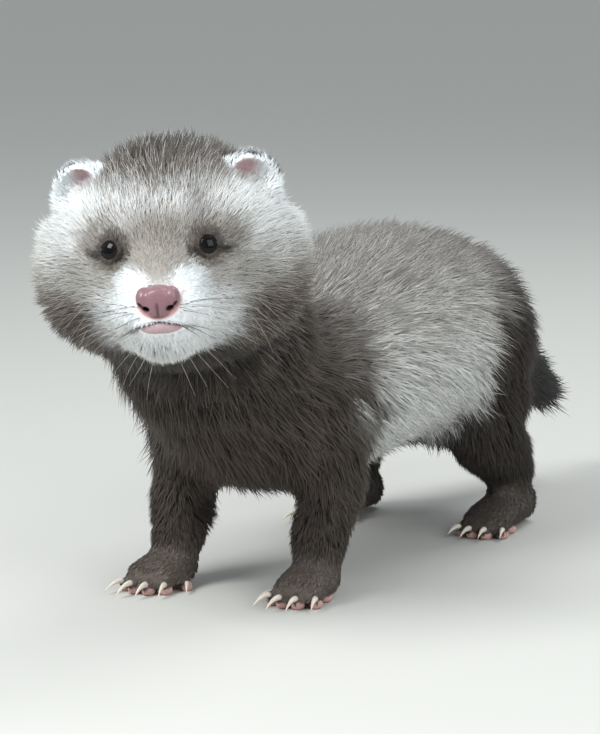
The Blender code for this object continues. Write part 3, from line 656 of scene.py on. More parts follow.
def coatPlan():
    local = inHead(skinPoints)
    fromNose = np.linalg.norm(local - (0, 64, -11), axis=1)
    z = skinPoints[:, 2] / mm
    steps = [0, 9, 16, 26, 38, 52, 66]
    faceLength = np.interp(fromNose, steps, [1.2, 1.8, 2.6, 4.3, 8.0, 11.7, 12.4])
    faceWidth = np.interp(fromNose, steps, [0.08, 0.09, 0.105, 0.12, 0.145, 0.18, 0.22])
    faceMany = np.interp(fromNose, steps, [16, 15, 13, 10.5, 7, 4.2, 3.2])
    faceGuard = np.interp(fromNose, [30, 50], [1.15, 1.0])  # no strays past the cheeks' outline
    faceLift = np.interp(fromNose, steps, [22, 22, 24, 31, 45, 57, 59])
    legLength = np.interp(z, [8, 20, 40, 70], [2.8, 4.2, 8, 11.5])
    legWidth = np.interp(z, [8, 20, 40, 70], [0.15, 0.19, 0.26, 0.31])
    legMany = np.interp(z, [8, 20, 40, 70], [6.5, 5, 3.2, 2.2])
    belly = smoothStep(-skinNormals[:, 2], 0.3, 0.9)
    torsoLength = 13.5 - 4 * belly
    plan = {
        "length": regionValue(skinShares, head=faceLength, neck=12.5, torso=torsoLength, tail=13, foreleg=legLength,
                              hindleg=legLength, forepaw=2.4, hindpaw=2.6, ear=3.3),
        "width": regionValue(skinShares, head=faceWidth, neck=0.23, torso=0.265, tail=0.26, foreleg=legWidth,
                             hindleg=legWidth, forepaw=0.15, hindpaw=0.16, ear=0.13),
        "many": regionValue(skinShares, head=faceMany, neck=3.2, torso=2.1, tail=3.6, foreleg=legMany,
                            hindleg=legMany, forepaw=7, hindpaw=6.5, ear=14),
        "guard": regionValue(skinShares, head=faceGuard, neck=1.3, torso=1.38, tail=1.3, foreleg=1.15, hindleg=1.15,
                             forepaw=1.0, hindpaw=1.0, ear=1.1),
        "lift": regionValue(skinShares, head=faceLift, neck=50, torso=46, tail=38, foreleg=38, hindleg=40,
                            forepaw=24, hindpaw=24, ear=38),
    }
    plan["length"] = plan["length"] * (1 - 0.6 * earHollow)
    across, forward, up = local.T
    chin = smoothStep(-up, 20.5, 25) * (1 - smoothStep(np.abs(across), 10, 18)) * smoothStep(forward, 36, 46)
    plan["length"] = plan["length"] * (1 + 0.8 * chin)
    plan["lift"] = plan["lift"] + 12 * chin
    for name in earNames:
        far = np.linalg.norm(skinPoints - middleOf(name), axis=1) / mm
        near = (1 - smoothStep(far, 9, 15)) * (1 - skinShares[:, regions.index("ear")])
        plan["length"] = plan["length"] * (1 - 0.62 * near)
        plan["many"] = plan["many"] * (1 + 0.9 * near)
        plan["width"] = plan["width"] * (1 - 0.35 * near)
    # Hair keeps off the nose, the lips and the eyes, and is thin in the cups of the ears.
    plan["many"] = plan["many"] * (1 - 0.98 * smoothStep(bareSkin, 0.3, 0.7)) * (1 - 0.93 * earInside) * (1 - 0.3 * earHollow)
    for word in eyeCentres:
        far, _ = besideEye(skinPoints, word)
        plan["many"] = np.where(far < 2.55, 0, plan["many"] * (2 - smoothStep(far, 3.5, 7)))
        plan["length"] = plan["length"] * (0.4 + 0.6 * smoothStep(far, 2.8, 8))
    sole = (skinNormals[:, 2] < -0.5) & (z < 2.5)
    plan["many"] = np.where(sole, 0, plan["many"])
    return plan


def unwrap(points, labels, normals):
    # Every region on its own sheet: its angle round its axis and its length along it.
    sheets = {"head": (0, 0, 0.5, 0.36), "torso": (0, 0.37, 0.6, 0.63), "neck": (0.51, 0, 0.28, 0.36),
              "tail": (0.8, 0, 0.2, 0.36), "foreleg": (0.61, 0.37, 0.19, 0.3), "hindleg": (0.81, 0.37, 0.19, 0.3),
              "forepaw": (0.61, 0.68, 0.19, 0.15), "hindpaw": (0.81, 0.68, 0.19, 0.15), "ear": (0.61, 0.84, 0.39, 0.16)}
    found = np.zeros((len(points), 2))
    for name, (left, low, wide, high) in sheets.items():
        picked = labels == regions.index(name)
        if not picked.any():
            continue
        spots = points[picked]
        if name == "head":
            local = inHead(spots) - (0, 28, -6)
            turn = np.arctan2(local[:, 0], local[:, 2])
            along = np.arccos(np.clip(local[:, 1] / np.linalg.norm(local, axis=1), -1, 1)) / math.pi
            halves = np.zeros(len(spots))
        else:
            twin = name not in ("torso", "neck", "tail")
            halves = (spots[:, 0] > bodyShift[0]).astype(float) if twin else np.zeros(len(spots))
            along = np.zeros(len(spots))
            turn = np.zeros(len(spots))
            for half in np.unique(halves):
                mine = halves == half
                low3, high3 = spots[mine].min(0), spots[mine].max(0)
                centre = (low3 + high3) / 2
                axis = {"foreleg": 2, "hindleg": 2, "ear": 2}.get(name, 1)
                others = [0, 2] if axis == 1 else [0, 1]
                along[mine] = (spots[mine][:, axis] - low3[axis]) / (high3[axis] - low3[axis])
                away = spots[mine][:, others] - centre[others]
                turn[mine] = np.arctan2(away[:, 1], away[:, 0])
            turn = turn / 2 + math.pi * (halves - 0.5) if twin else turn
        share = 0.02 + 0.96 * (turn / (2 * math.pi) + 0.5)
        found[picked] = np.column_stack([left + wide * share, low + high * (0.02 + 0.96 * along)])
    return found


def hairMesh(name, points, normals, colours, patches):
    # Each hair is a closed spindle: a root, three points where it bends and a tip.
    count = len(points)
    mesh = bpy.data.meshes.new(name)
    mesh.vertices.add(count * 5)
    mesh.vertices.foreach_set("co", points.astype(np.float32).ravel())
    shape = np.array([(0, 1, 2), (0, 2, 3), (0, 3, 1), (4, 2, 1), (4, 3, 2), (4, 1, 3)], np.int32)
    corners = (shape[None] + 5 * np.arange(count, dtype=np.int32)[:, None, None]).ravel()
    mesh.loops.add(len(corners))
    mesh.loops.foreach_set("vertex_index", corners)
    mesh.polygons.add(count * 6)
    mesh.polygons.foreach_set("loop_start", np.arange(0, len(corners), 3, dtype=np.int32))
    mesh.update()
    mesh.validate()
    giveColours(mesh, "markings", colours.reshape(-1, 3))
    layer = mesh.uv_layers.new(name="OFBake")
    layer.data.foreach_set("uv", patches.reshape(-1, 2)[corners].astype(np.float32).ravel())
    mesh.shade_smooth()
    mesh.normals_split_custom_set_from_vertices(unit(normals.reshape(-1, 3)).astype(np.float32))
    thing = bpy.data.objects.new(name, mesh)
    bpy.context.scene.collection.objects.link(thing)
    return thing


def growCoat():
    flow = layOfFur()
    plan = coatPlan()
    tri = skinCorners
    a, b, c = (skinPoints[tri[:, k]] for k in range(3))
    area = np.linalg.norm(np.cross(b - a, c - a), axis=1) / 2 / mm**2
    growth = area * plan["many"][tri].mean(1)
    print(f"        skin {area.sum():.0f} mm2, planned {growth.sum():.0f} hairs, {coat['hairs']} grown")
    tufts = coat["hairs"] // coat["tuftOf"]
    reach = np.cumsum(growth) / growth.sum()
    picked = np.searchsorted(reach, (np.arange(tufts) + chance.random(tufts)) / tufts)
    picked = np.minimum(picked, len(tri) - 1)
    split = chance.random((tufts, 2))
    over = split.sum(1) > 1
    split[over] = 1 - split[over]
    weights = np.column_stack([1 - split.sum(1), split])[:, :, None]

    def at(values):
        rows = values.reshape(len(values), -1)[tri[picked]]
        return (rows * weights).sum(1).reshape((tufts,) + values.shape[1:])

    root, normal, way = at(skinPoints), unit(at(skinNormals)), at(flow)
    way = unit(way - normal * np.sum(way * normal, axis=1)[:, None])
    length, width, many, lift = (at(plan[key])[:, None] for key in ("length", "width", "many", "lift"))
    longer = at(plan["guard"])[:, None]
    under, guard, share = at(pattern["under"]), at(pattern["guard"]), at(pattern["share"])
    labels = skinLabels[tri[picked, 0]]
    sheet = unwrap(root, labels, normal)
    # The fewer hairs there are than planned, the wider each one is.
    thin = min(coat["hairs"] / growth.sum(), 1)
    width = width / math.sqrt(thin)
    gap = np.sqrt(coat["tuftOf"] / np.maximum(many * thin, 0.05)) * mm
    hairs = coat["tuftOf"]
    size = (tufts, hairs)
    turn, far = chance.random(size) * 2 * math.pi, np.sqrt(chance.random(size)) * 0.62
    offA, offB = np.cos(turn) * far * gap, np.sin(turn) * far * gap
    isGuard = chance.random(size) < share[:, None]
    yaw = chance.normal(0, 0.13, (tufts, 1)) + chance.normal(0, 0.10, size)
    rise = np.radians(lift * (0.86 + 0.28 * chance.random((tufts, 1))) + np.clip(chance.normal(0, 4.5, size), -9, 9))
    long = length * mm * (0.72 + 0.4 * chance.random(size)) * np.where(isGuard, longer, 1.0)
    wide = width * mm * (0.8 + 0.4 * chance.random(size)) * np.where(isGuard, 0.8, 1.0)
    flat = rise * (0.34 + 0.12 * chance.random(size))
    n, d = normal[:, None], way[:, None]
    s = np.cross(n, d)
    ahead = d * np.cos(yaw)[..., None] + s * np.sin(yaw)[..., None]
    across = np.cross(n, ahead)
    first = ahead * np.cos(rise)[..., None] + n * np.sin(rise)[..., None]
    second = ahead * np.cos(flat)[..., None] + n * np.sin(flat)[..., None]
    base = root[:, None] + s * offA[..., None] + d * offB[..., None] - n * coat["sink"]
    bend = base + first * (long * coat["bend"])[..., None] - s * (offA * 0.3)[..., None]
    tip = bend + second * (long * (1 - coat["bend"]))[..., None] - s * (offA * 0.78)[..., None] - d * (offB * 0.3)[..., None]
    upward = unit(n - ahead * (np.sin((rise + flat) / 2) * 0.9)[..., None])
    w = wide[..., None]
    points = np.stack([base, bend + across * w, bend - across * w, bend + upward * w * 0.7, tip], axis=2)
    points[..., 2] = np.maximum(points[..., 2], 0.15 * mm)
    # Strays that stand out past the sides of the solids bend back.
    past = np.maximum(np.abs(points[..., 0]) - coat["side"], 0)
    points[..., 0] -= np.sign(points[..., 0]) * past * 0.6
    soft = np.broadcast_to(unit(n + ahead * 0.25), across.shape)
    normals = np.stack([soft, soft * 0.8 + across * 0.6, soft * 0.8 - across * 0.6, soft * 0.6 + upward * 0.6, soft], 2)
    tone = (0.93 + 0.14 * chance.random((tufts, 1))) * (0.94 + 0.12 * chance.random(size))
    wool = under[:, None] * tone[..., None]
    tipColour = np.where(isGuard[..., None], guard[:, None] * tone[..., None], wool * 1.04)
    bendColour = wool * 0.86 + tipColour * 0.14
    # Each hair's root is painted at 0.62 of the wool's colour: painted shade deep in the coat.
    colours = np.stack([wool * 0.62, bendColour, bendColour, bendColour, tipColour], axis=2)
    colours = np.clip(colours, 0, 0.95)
    lane = (np.arange(hairs) / (hairs - 1) - 0.5)[None, :] * coat["patch"] * 0.85 + np.zeros(size)
    slip = coat["patch"] * np.array([(0, -0.5), (0.07, 0), (-0.07, 0), (0, 0.08), (0, 0.5)])
    patches = sheet[:, None, None, :] + slip[None, None] + np.stack([lane, lane * 0], -1)[:, :, None, :]
    return points, normals, colours, patches, labels


def makeCoat():
    points, normals, colours, patches, labels = growCoat()
    stage(f"{points.shape[0]} tufts grown, {points.shape[0] * points.shape[1] * 6} triangles")
    material = hairMaterial("fineFur", 0.58, 0.05)
    pieces = []
    for name in regions:
        mine = np.flatnonzero(labels == regions.index(name))
        parts = max(1, math.ceil(len(mine) * coat["tuftOf"] / coat["most"]))
        for k, some in enumerate(np.array_split(mine, parts)):
            title = f"coat{name.capitalize()}{k + 1}"
            piece = hairMesh(title, points[some].reshape(-1, 5, 3), normals[some].reshape(-1, 5, 3),
                             colours[some].reshape(-1, 5, 3), patches[some].reshape(-1, 5, 2))
            piece.data.materials.append(material)
            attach(piece, "root")
            pieces.append(piece)
    return pieces


makeCoat()
stage("coat made")


# Closed tubes and rings for whiskers, claws and lids.
def tubeMesh(name, routes, radii, sides, hint=(0.1, 0.3, 0.95)):
    points, faces = [], []
    for route, radius in zip(routes, radii):
        route = np.asarray(route, float)
        ways = unit(np.gradient(route, axis=0))
        side = unit(np.cross(ways, hint))
        up = np.cross(side, ways)
        angle = np.linspace(0, 2 * math.pi, sides, endpoint=False)
        ring = np.cos(angle)[None, :, None] * side[:, None] + np.sin(angle)[None, :, None] * up[:, None]
        start = len(points)
        points.extend((route[:, None] + ring * np.asarray(radius)[:, None, None]).reshape(-1, 3))
        for k in range(len(route) - 1):
            for j in range(sides):
                a, b = start + k * sides + j, start + k * sides + (j + 1) % sides
                faces.append((a, a + sides, b + sides, b))
        faces.append(tuple(start + j for j in range(sides)))
        last = start + (len(route) - 1) * sides
        faces.append(tuple(last + j for j in reversed(range(sides))))
    mesh = bpy.data.meshes.new(name)
    mesh.from_pydata([tuple(p) for p in points], [], faces)
    mesh.update()
    mesh.shade_smooth()
    thing = bpy.data.objects.new(name, mesh)
    bpy.context.scene.collection.objects.link(thing)
    return thing


def settle(piece, material, slotName, *nodes):
    piece.data.materials.append(material)
    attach(piece, "root")
    if nodes:
        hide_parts(*nodes)
    return piece


# Eyes: dark globes under a wet film, with the lids' rims round them.
def eyeMaterial():
    # A wet cornea: IOR 1.376, mirror smooth, over a brown-black iris.
    material, tree, shader = newMaterial("wetEye", {
        "Roughness": 0.2, "IOR": 1.376, "Specular IOR Level": 0.05, "Coat Weight": 0.6, "Coat Roughness": 0.02,
        "Coat IOR": 1.376,
    })
    colour = addNode(tree, "ShaderNodeVertexColor", {"layer_name": "iris"})
    tree.links.new(colour.outputs["Color"], shader.inputs["Base Color"])
    return material


def makeEye(name, word, material):
    centre = eyeCentres[word]
    look, side, up = eyeAxes(word)
    side = np.cross(up, look)
    rings, around = 40, 48
    polar = np.linspace(0, math.pi, rings)
    turn = np.linspace(0, 2 * math.pi, around, endpoint=False)
    cornea = 1 + 0.035 * (1 - smoothStep(polar, 0.45, 0.95))  # the clear front stands a little proud
    points = [centre + look * eye["radius"] * cornea[0] * mm]
    for k in range(1, rings - 1):
        flat = np.cos(turn)[:, None] * side + np.sin(turn)[:, None] * up
        points.extend(centre + (look * math.cos(polar[k]) + flat * math.sin(polar[k])) * eye["radius"] * cornea[k] * mm)
    points.append(centre - look * eye["radius"] * mm)
    faces = [(0, 1 + j, 1 + (j + 1) % around) for j in range(around)]
    for k in range(rings - 3):
        for j in range(around):
            a, b = 1 + k * around + j, 1 + k * around + (j + 1) % around
            faces.append((a, a + around, b + around, b))
    last = len(points) - 1
    faces += [(last, last - around + (j + 1) % around, last - around + j) for j in range(around)]
    mesh = bpy.data.meshes.new(name)
    mesh.from_pydata([tuple(p) for p in points], [], faces)
    mesh.update()
    mesh.shade_smooth()
    spots = np.array(points)
    angle = np.arccos(np.clip(unit(spots - centre) @ look, -1, 1))
    black, brown, rim = linear("020203"), linear("100B0A"), linear("060505")
    toIris = smoothStep(angle, eye["pupil"] - 0.06, eye["pupil"] + 0.04)[:, None]
    toRim = smoothStep(angle, eye["iris"] - 0.15, eye["iris"])[:, None]
    giveColours(mesh, "iris", (black + (brown - black) * toIris) * (1 - toRim) + rim * toRim)
    thing = bpy.data.objects.new(name, mesh)
    bpy.context.scene.collection.objects.link(thing)
    return settle(thing, material, "eye", f"eye_{word}")


def makeLids(name, word, material):
    # A closed ring that hugs the globe, from the rim of the opening out to under the fur.
    centre = eyeCentres[word]
    look, outward, up = eyeAxes(word)
    turn = np.linspace(0, 2 * math.pi, 64, endpoint=False)
    wide = eye["openWide"] + eye["cornerReach"] * np.exp(-((np.sin(turn) / 0.28) ** 2)) * (0.75 + 0.25 * np.cos(turn))
    high = eye["openHigh"] * (1 + 0.05 * np.sin(turn))
    flatX, flatY = np.cos(turn) * wide, np.sin(turn) * high
    opening = np.arcsin(np.hypot(flatX, flatY) / (eye["radius"] + 0.1))
    way = unit(flatX[:, None] * outward + flatY[:, None] * up)
    profile = [(0.0, 0.02), (-0.02, 0.1), (0.1, 0.19), (0.32, 0.27), (0.62, eye["rim"]), (0.85, eye["rim"] - 0.04),
               (1.0, eye["rim"] - 0.3), (1.0, -0.5), (0.4, -0.25)]
    rings = []
    for share, lift in profile:
        polar = (opening + share * np.maximum(eye["outer"] - opening, 0.12))[:, None]
        rings.append(centre + (look * np.cos(polar) + way * np.sin(polar)) * (eye["radius"] + lift) * mm)
    count, around = len(rings), len(turn)
    faces = []
    for k in range(count):
        for j in range(around):
            a, b = k * around + j, k * around + (j + 1) % around
            c, d = ((k + 1) % count) * around + (j + 1) % around, ((k + 1) % count) * around + j
            faces.append((a, b, c, d))
    mesh = bpy.data.meshes.new(name)
    mesh.from_pydata([tuple(p) for ring in rings for p in ring], [], faces)
    mesh.update()
    fix = bmesh.new()
    fix.from_mesh(mesh)
    bmesh.ops.recalc_face_normals(fix, faces=fix.faces)
    fix.to_mesh(mesh)
    fix.free()
    mesh.shade_smooth()
    tone = np.repeat(np.clip([share for share, _ in profile], 0, 1), around)[:, None]
    giveColours(mesh, "markings", linear("0C0909") * (1 - tone) + linear("302825") * tone)
    thing = bpy.data.objects.new(name, mesh)
    bpy.context.scene.collection.objects.link(thing)
    return settle(thing, material, "nose_skin")


def lidMaterial():
    # Dark pigmented skin, matt with oil rather than wet.
    material, tree, shader = newMaterial("lidRim", {
        "Roughness": 0.7, "IOR": 1.4, "Specular IOR Level": 0.15,
    })
    place = addNode(tree, "ShaderNodeTexCoord")
    folds = addNode(tree, "ShaderNodeTexNoise", {"Scale": 1 / (0.5 * mm), "Detail": 2}, {"Vector": place.outputs["Object"]})
    colour = addNode(tree, "ShaderNodeVertexColor", {"layer_name": "markings"})
    tone = addNode(tree, "ShaderNodeHueSaturation", {"Saturation": 1.0}, {"Color": colour.outputs["Color"]})
    light = addNode(tree, "ShaderNodeMapRange", {"To Min": 0.7, "To Max": 1.25}, {"Value": folds.outputs["Fac"]})
    tree.links.new(light.outputs["Result"], tone.inputs["Value"])
    bump = addNode(tree, "ShaderNodeBump", {"Strength": 0.4, "Distance": 0.12 * mm}, {"Height": folds.outputs["Fac"]})
    tree.links.new(tone.outputs["Color"], shader.inputs["Base Color"])
    tree.links.new(bump.outputs["Normal"], shader.inputs["Normal"])
    return material


wetEye, lidRim = eyeMaterial(), lidMaterial()
for word in eyeCentres:
    makeEye(f"eye{word.capitalize()}", word, wetEye)
    makeLids(f"lids{word.capitalize()}", word, lidRim)
stage("eyes and lids made")

# Nose: the bare pad, from the same masses as the solid, with comma nostrils pressed in.
nose = {
    "at": (0, 64.4, -10.9), "voxel": 0.24,
    "masses": [((0, 0, 0), (4.7, 4.1, 4.5)), ((0, -0.4, -2.7), (3.6, 3.6, 2.1)), ((0, -1.6, 2.5), (4.7, 3.4, 2.0)),
               ((4.0, -0.9, 0.9), (2.4, 3.7, 3.3)), ((-4.0, -0.9, 0.9), (2.4, 3.7, 3.3))],
    "flatFrom": 2.4, "flatShare": 0.5,
    "nostril": {"at": (3.35, -1.6), "half": (1.2, 0.8), "turn": -22, "deep": 2.4},
    "slit": {"at": (4.85, -0.5), "half": (1.2, 0.42), "turn": -48, "deep": 1.3},
    "cleft": {"half": 0.4, "deep": 0.7, "from": -5.0, "to": 0.6},
}


def pressed(x, u, spot, across):
    # How far inside an oval dent a point lies, 0 to 1.
    angle = math.radians(spot["turn"])
    dx, du = across * x - spot["at"][0], u - spot["at"][1]
    along = dx * math.cos(angle) - du * math.sin(angle)
    over = dx * math.sin(angle) + du * math.cos(angle)
    away = np.hypot(along / spot["half"][0], over / spot["half"][1])
    return 1 - smoothStep(away, 0.45, 1.12)


def noseMaterial():
    # Moist nose leather: pink skin with fine pebbles about 0.4 mm across.
    material, tree, shader = newMaterial("noseLeather", {
        "Roughness": 0.36, "IOR": 1.42, "Coat Weight": 0.35, "Coat Roughness": 0.22, "Subsurface Weight": 0.2,
        "Subsurface Scale": 1.5 * mm,
    })
    shader.inputs["Subsurface Radius"].default_value = (1, 0.35, 0.25)
    place = addNode(tree, "ShaderNodeTexCoord")
    pebbles = addNode(tree, "ShaderNodeTexVoronoi", {"Scale": 1 / (0.42 * mm)}, {"Vector": place.outputs["Object"]})
    bump = addNode(tree, "ShaderNodeBump", {"Strength": 0.45, "Distance": 0.1 * mm, "invert": True},
                   {"Height": pebbles.outputs["Distance"]})
    colour = addNode(tree, "ShaderNodeVertexColor", {"layer_name": "markings"})
    tree.links.new(colour.outputs["Color"], shader.inputs["Base Color"])
    tree.links.new(bump.outputs["Normal"], shader.inputs["Normal"])
    return material


def makeNose():
    joined = bmesh.new()
    for spot, half in nose["masses"]:
        centre = fromHead(*(np.array(nose["at"]) + spot))
        turn = Matrix(headTurn.tolist()).to_4x4()
        size = Matrix.Diagonal((half[0] * mm, half[1] * mm, half[2] * mm, 1))
        bmesh.ops.create_uvsphere(joined, u_segments=32, v_segments=20, radius=1,
                                  matrix=Matrix.Translation(Vector(centre)) @ turn @ size)
    mesh = bpy.data.meshes.new("nosePad")
    joined.to_mesh(mesh)
    joined.free()
    thing = bpy.data.objects.new("nosePad", mesh)
    bpy.context.scene.collection.objects.link(thing)
    whole = thing.modifiers.new("one surface", "REMESH")
    whole.mode = "VOXEL"
    whole.voxel_size = nose["voxel"] * mm
    applied(thing)
    points, edges, corners = meshArrays(thing.data)
    points = spread(points, edges, 8)
    x, f, u = (inHead(points) - nose["at"]).T
    front = smoothStep(f, 0.2, 1.6)
    flat = np.maximum(f - nose["flatFrom"], 0) * (1 - nose["flatShare"])
    points = points - np.outer(flat, headWay(0, 1, 0)) * mm
    dent = np.zeros(len(points))
    dark = np.zeros(len(points))
    for sign in (-1, 1):
        hole = pressed(x, u, nose["nostril"], sign)
        slit = pressed(x, u, nose["slit"], sign)
        dent = np.maximum(dent, np.maximum(hole * nose["nostril"]["deep"], slit * nose["slit"]["deep"]))
        dark = np.maximum(dark, np.maximum(hole, slit * 0.6))
    line = np.exp(-((x / nose["cleft"]["half"]) ** 2)) * smoothStep(u, *(nose["cleft"]["from"] + d for d in (-1, 1)))
    line = line * (1 - smoothStep(u, nose["cleft"]["to"] - 1.5, nose["cleft"]["to"]))
    dent = dent + line * nose["cleft"]["deep"]
    points = points - np.outer(dent * front, headWay(0, 1, 0)) * mm
    points = spread(points, edges, 1)
    thing.data.vertices.foreach_set("co", points.ravel())
    thing.data.update()
    thing.data.shade_smooth()
    pink, deep, edge = linear("8B666E"), linear("241413"), linear("74535A")
    base = np.tile(pink, (len(points), 1))
    rim = smoothStep(np.abs(x), 4.6, 6.6)[:, None] * 0.6
    base = base * (1 - rim) + edge * rim
    shade = np.clip(dark * front * 1.15 + line * front * 0.4, 0, 1)[:, None]
    # The bottom of the pad painted a darker brown: painted shade on its underside.
    under = (smoothStep(-u, 3.2, 4.6) * 0.8)[:, None]
    base = base * (1 - under) + linear("4F3334") * under
    giveColours(thing.data, "markings", base * (1 - shade) + deep * shade)
    return settle(thing, noseMaterial(), "nose_skin", "nose")


def lipMaterial():
    # Moist pink lip: thin skin over blood, with a soft shine and fine creases across it.
    material, tree, shader = newMaterial("moistLip", {
        "Roughness": 0.45, "IOR": 1.42, "Coat Weight": 0.15, "Coat Roughness": 0.3, "Subsurface Weight": 0.25,
        "Subsurface Scale": 1.5 * mm,
    })
    shader.inputs["Subsurface Radius"].default_value = (1, 0.35, 0.25)
    place = addNode(tree, "ShaderNodeTexCoord")
    creases = addNode(tree, "ShaderNodeTexNoise", {"Scale": 1 / (0.8 * mm), "Detail": 3}, {"Vector": place.outputs["Object"]})
    tone = addNode(tree, "ShaderNodeValToRGB", links={"Fac": creases.outputs["Fac"]})
    tone.color_ramp.elements[0].color = (*linear("A08388"), 1)
    tone.color_ramp.elements[1].color = (*linear("C4A9AE"), 1)
    bump = addNode(tree, "ShaderNodeBump", {"Strength": 0.35, "Distance": 0.1 * mm}, {"Height": creases.outputs["Fac"]})
    tree.links.new(tone.outputs["Color"], shader.inputs["Base Color"])
    tree.links.new(bump.outputs["Normal"], shader.inputs["Normal"])
    return material


def makeLowerLip():
    # Fullest in the middle, closing to the corners, seated on the skin below the line of the mouth.
    surface = bvhtree.BVHTree.FromPolygons([tuple(p) for p in skinPoints], [tuple(c) for c in skinCorners.tolist()])
    stations, around = 33, 16
    points = []
    for x in np.linspace(-0.985, 0.985, stations) * mouth["lipHalf"]:
        high = mouth["lipHigh"] * (1 - (x / mouth["lipHalf"]) ** 2) ** 0.8
        u = mouthLine(x) - 0.15 - high
        hit = surface.ray_cast(Vector(fromHead(x, 90, u)), Vector(headWay(0, -1, 0)))[0]
        f = inHead(np.array(hit)[None])[0][1]
        deep = 0.95 * high ** 0.5 + 0.1
        for angle in np.linspace(0, 2 * math.pi, around, endpoint=False):
            points.append(fromHead(x, f - 0.25 + deep * math.cos(angle), u + (high + 0.2) * math.sin(angle)))
    faces = []
    for k in range(stations - 1):
        for j in range(around):
            a, b = k * around + j, k * around + (j + 1) % around
            faces.append((a, b, b + around, a + around))
    faces.append(tuple(reversed(range(around))))
    faces.append(tuple((stations - 1) * around + j for j in range(around)))
    mesh = bpy.data.meshes.new("lowerLip")
    mesh.from_pydata([tuple(p) for p in points], [], faces)
    fix = bmesh.new()
    fix.from_mesh(mesh)
    bmesh.ops.recalc_face_normals(fix, faces=fix.faces)
    fix.to_mesh(mesh)
    fix.free()
    mesh.shade_smooth()
    thing = bpy.data.objects.new("lowerLip", mesh)
    bpy.context.scene.collection.objects.link(thing)
    return settle(thing, lipMaterial(), "nose_skin")


makeNose()
makeLowerLip()
stage("nose and lip made")

# Claws and pads.
def clawMaterial():
    # Horn: pale, slightly see-through keratin with fine streaks along it.
    material, tree, shader = newMaterial("clawHorn", {
        "Roughness": 0.3, "IOR": 1.55, "Subsurface Weight": 0.3, "Subsurface Scale": 0.8 * mm,
    })
    place = addNode(tree, "ShaderNodeTexCoord")
    streaks = addNode(tree, "ShaderNodeTexNoise", {"Scale": 1 / (0.7 * mm), "Detail": 2}, {"Vector": place.outputs["Object"]})
    tone = addNode(tree, "ShaderNodeValToRGB", links={"Fac": streaks.outputs["Fac"]})
    tone.color_ramp.elements[0].color = (*linear("CDBFAE"), 1)
    tone.color_ramp.elements[1].color = (*linear("F0E8DC"), 1)
    tree.links.new(tone.outputs["Color"], shader.inputs["Base Color"])
    return material


def makeClaws():
    routes, radii = [], []
    for kind in ("fore", "hind"):
        for side in (-1, 1):
            for centre, way, size in toePlaces(kind, side):
                long = paws[kind]["claw"] * size
                root = centre + way * (paws["toeHalf"][1] * size * 0.62) * mm + np.array((0, 0, 1.0 * size * mm))
                rise = unit(way + np.array((0, 0, 0.14)))
                share = np.linspace(0, 1, 10)
                route = root + rise * (long * share * mm)[:, None]
                route[:, 2] -= paws["curl"] * long * share**2 * mm
                route[:, 2] = np.maximum(route[:, 2], (0.35 + 0.5 * (1 - share)) * mm)
                routes.append(route)
                radii.append(np.maximum(paws["radius"] * size * (1 - share) ** 0.72, 0.08) * mm)
    return settle(tubeMesh("claws", routes, radii, 10), clawMaterial(), "nose_skin")


def padMaterial():
    # Bare sole skin: pink-grey, matt, with fine grain.
    material, tree, shader = newMaterial("soleSkin", {"Roughness": 0.6, "IOR": 1.45, "Subsurface Weight": 0.15,
                                                      "Subsurface Scale": 1.0 * mm})
    place = addNode(tree, "ShaderNodeTexCoord")
    grain = addNode(tree, "ShaderNodeTexNoise", {"Scale": 1 / (0.6 * mm), "Detail": 3}, {"Vector": place.outputs["Object"]})
    tone = addNode(tree, "ShaderNodeValToRGB", links={"Fac": grain.outputs["Fac"]})
    tone.color_ramp.elements[0].color = (*linear("A9807A"), 1)
    tone.color_ramp.elements[1].color = (*linear("D6ADA6"), 1)
    bump = addNode(tree, "ShaderNodeBump", {"Strength": 0.5, "Distance": 0.12 * mm}, {"Height": grain.outputs["Fac"]})
    tree.links.new(tone.outputs["Color"], shader.inputs["Base Color"])
    tree.links.new(bump.outputs["Normal"], shader.inputs["Normal"])
    return material


def makePads():
    joined = bmesh.new()
    for kind in ("fore", "hind"):
        for side in (-1, 1):
            rootX, rootY = paws[kind]["toeRoot"]
            spots = [(centre / mm + way * 1.2, (2.0 * size, 2.8 * size)) for centre, way, size in toePlaces(kind, side)]
            for across, back, wide in ((-4.4, 8.5, 2.6), (0.2, 6.4, 3.1), (4.6, 8.6, 2.6), (-0.5, 13, 2.6)):
                spot = bodyShift / mm + np.array((side * (rootX + across), rootY + back, 0))
                spots.append((spot, (wide, 2.9)))
            for spot, (wide, long) in spots:
                place = Matrix.Translation((spot[0] * mm, spot[1] * mm, 1.3 * mm))
                size = Matrix.Diagonal((wide * mm, long * mm, 1.7 * mm, 1))
                bmesh.ops.create_uvsphere(joined, u_segments=16, v_segments=10, radius=1, matrix=place @ size)
    for vertex in joined.verts:
        vertex.co.z = max(vertex.co.z, 0)
    mesh = bpy.data.meshes.new("pads")
    joined.to_mesh(mesh)
    joined.free()
    mesh.shade_smooth()
    thing = bpy.data.objects.new("pads", mesh)
    bpy.context.scene.collection.objects.link(thing)
    return settle(thing, padMaterial(), "nose_skin")


makeClaws()
makePads()
stage("claws and pads made")

# Whiskers: dark and short near the lips, long and pale behind, a few over the eyes and on the chin.
whiskers = {"rows": 4, "perRow": 6, "spread": (4.5, 13.5),
            "radius": {"whiskersDark": 0.085, "whiskersPale": 0.055},
            "colour": {"whiskersDark": ("2E2825", "5A5049"), "whiskersPale": ("B4ADA4", "E4DFD8")}}


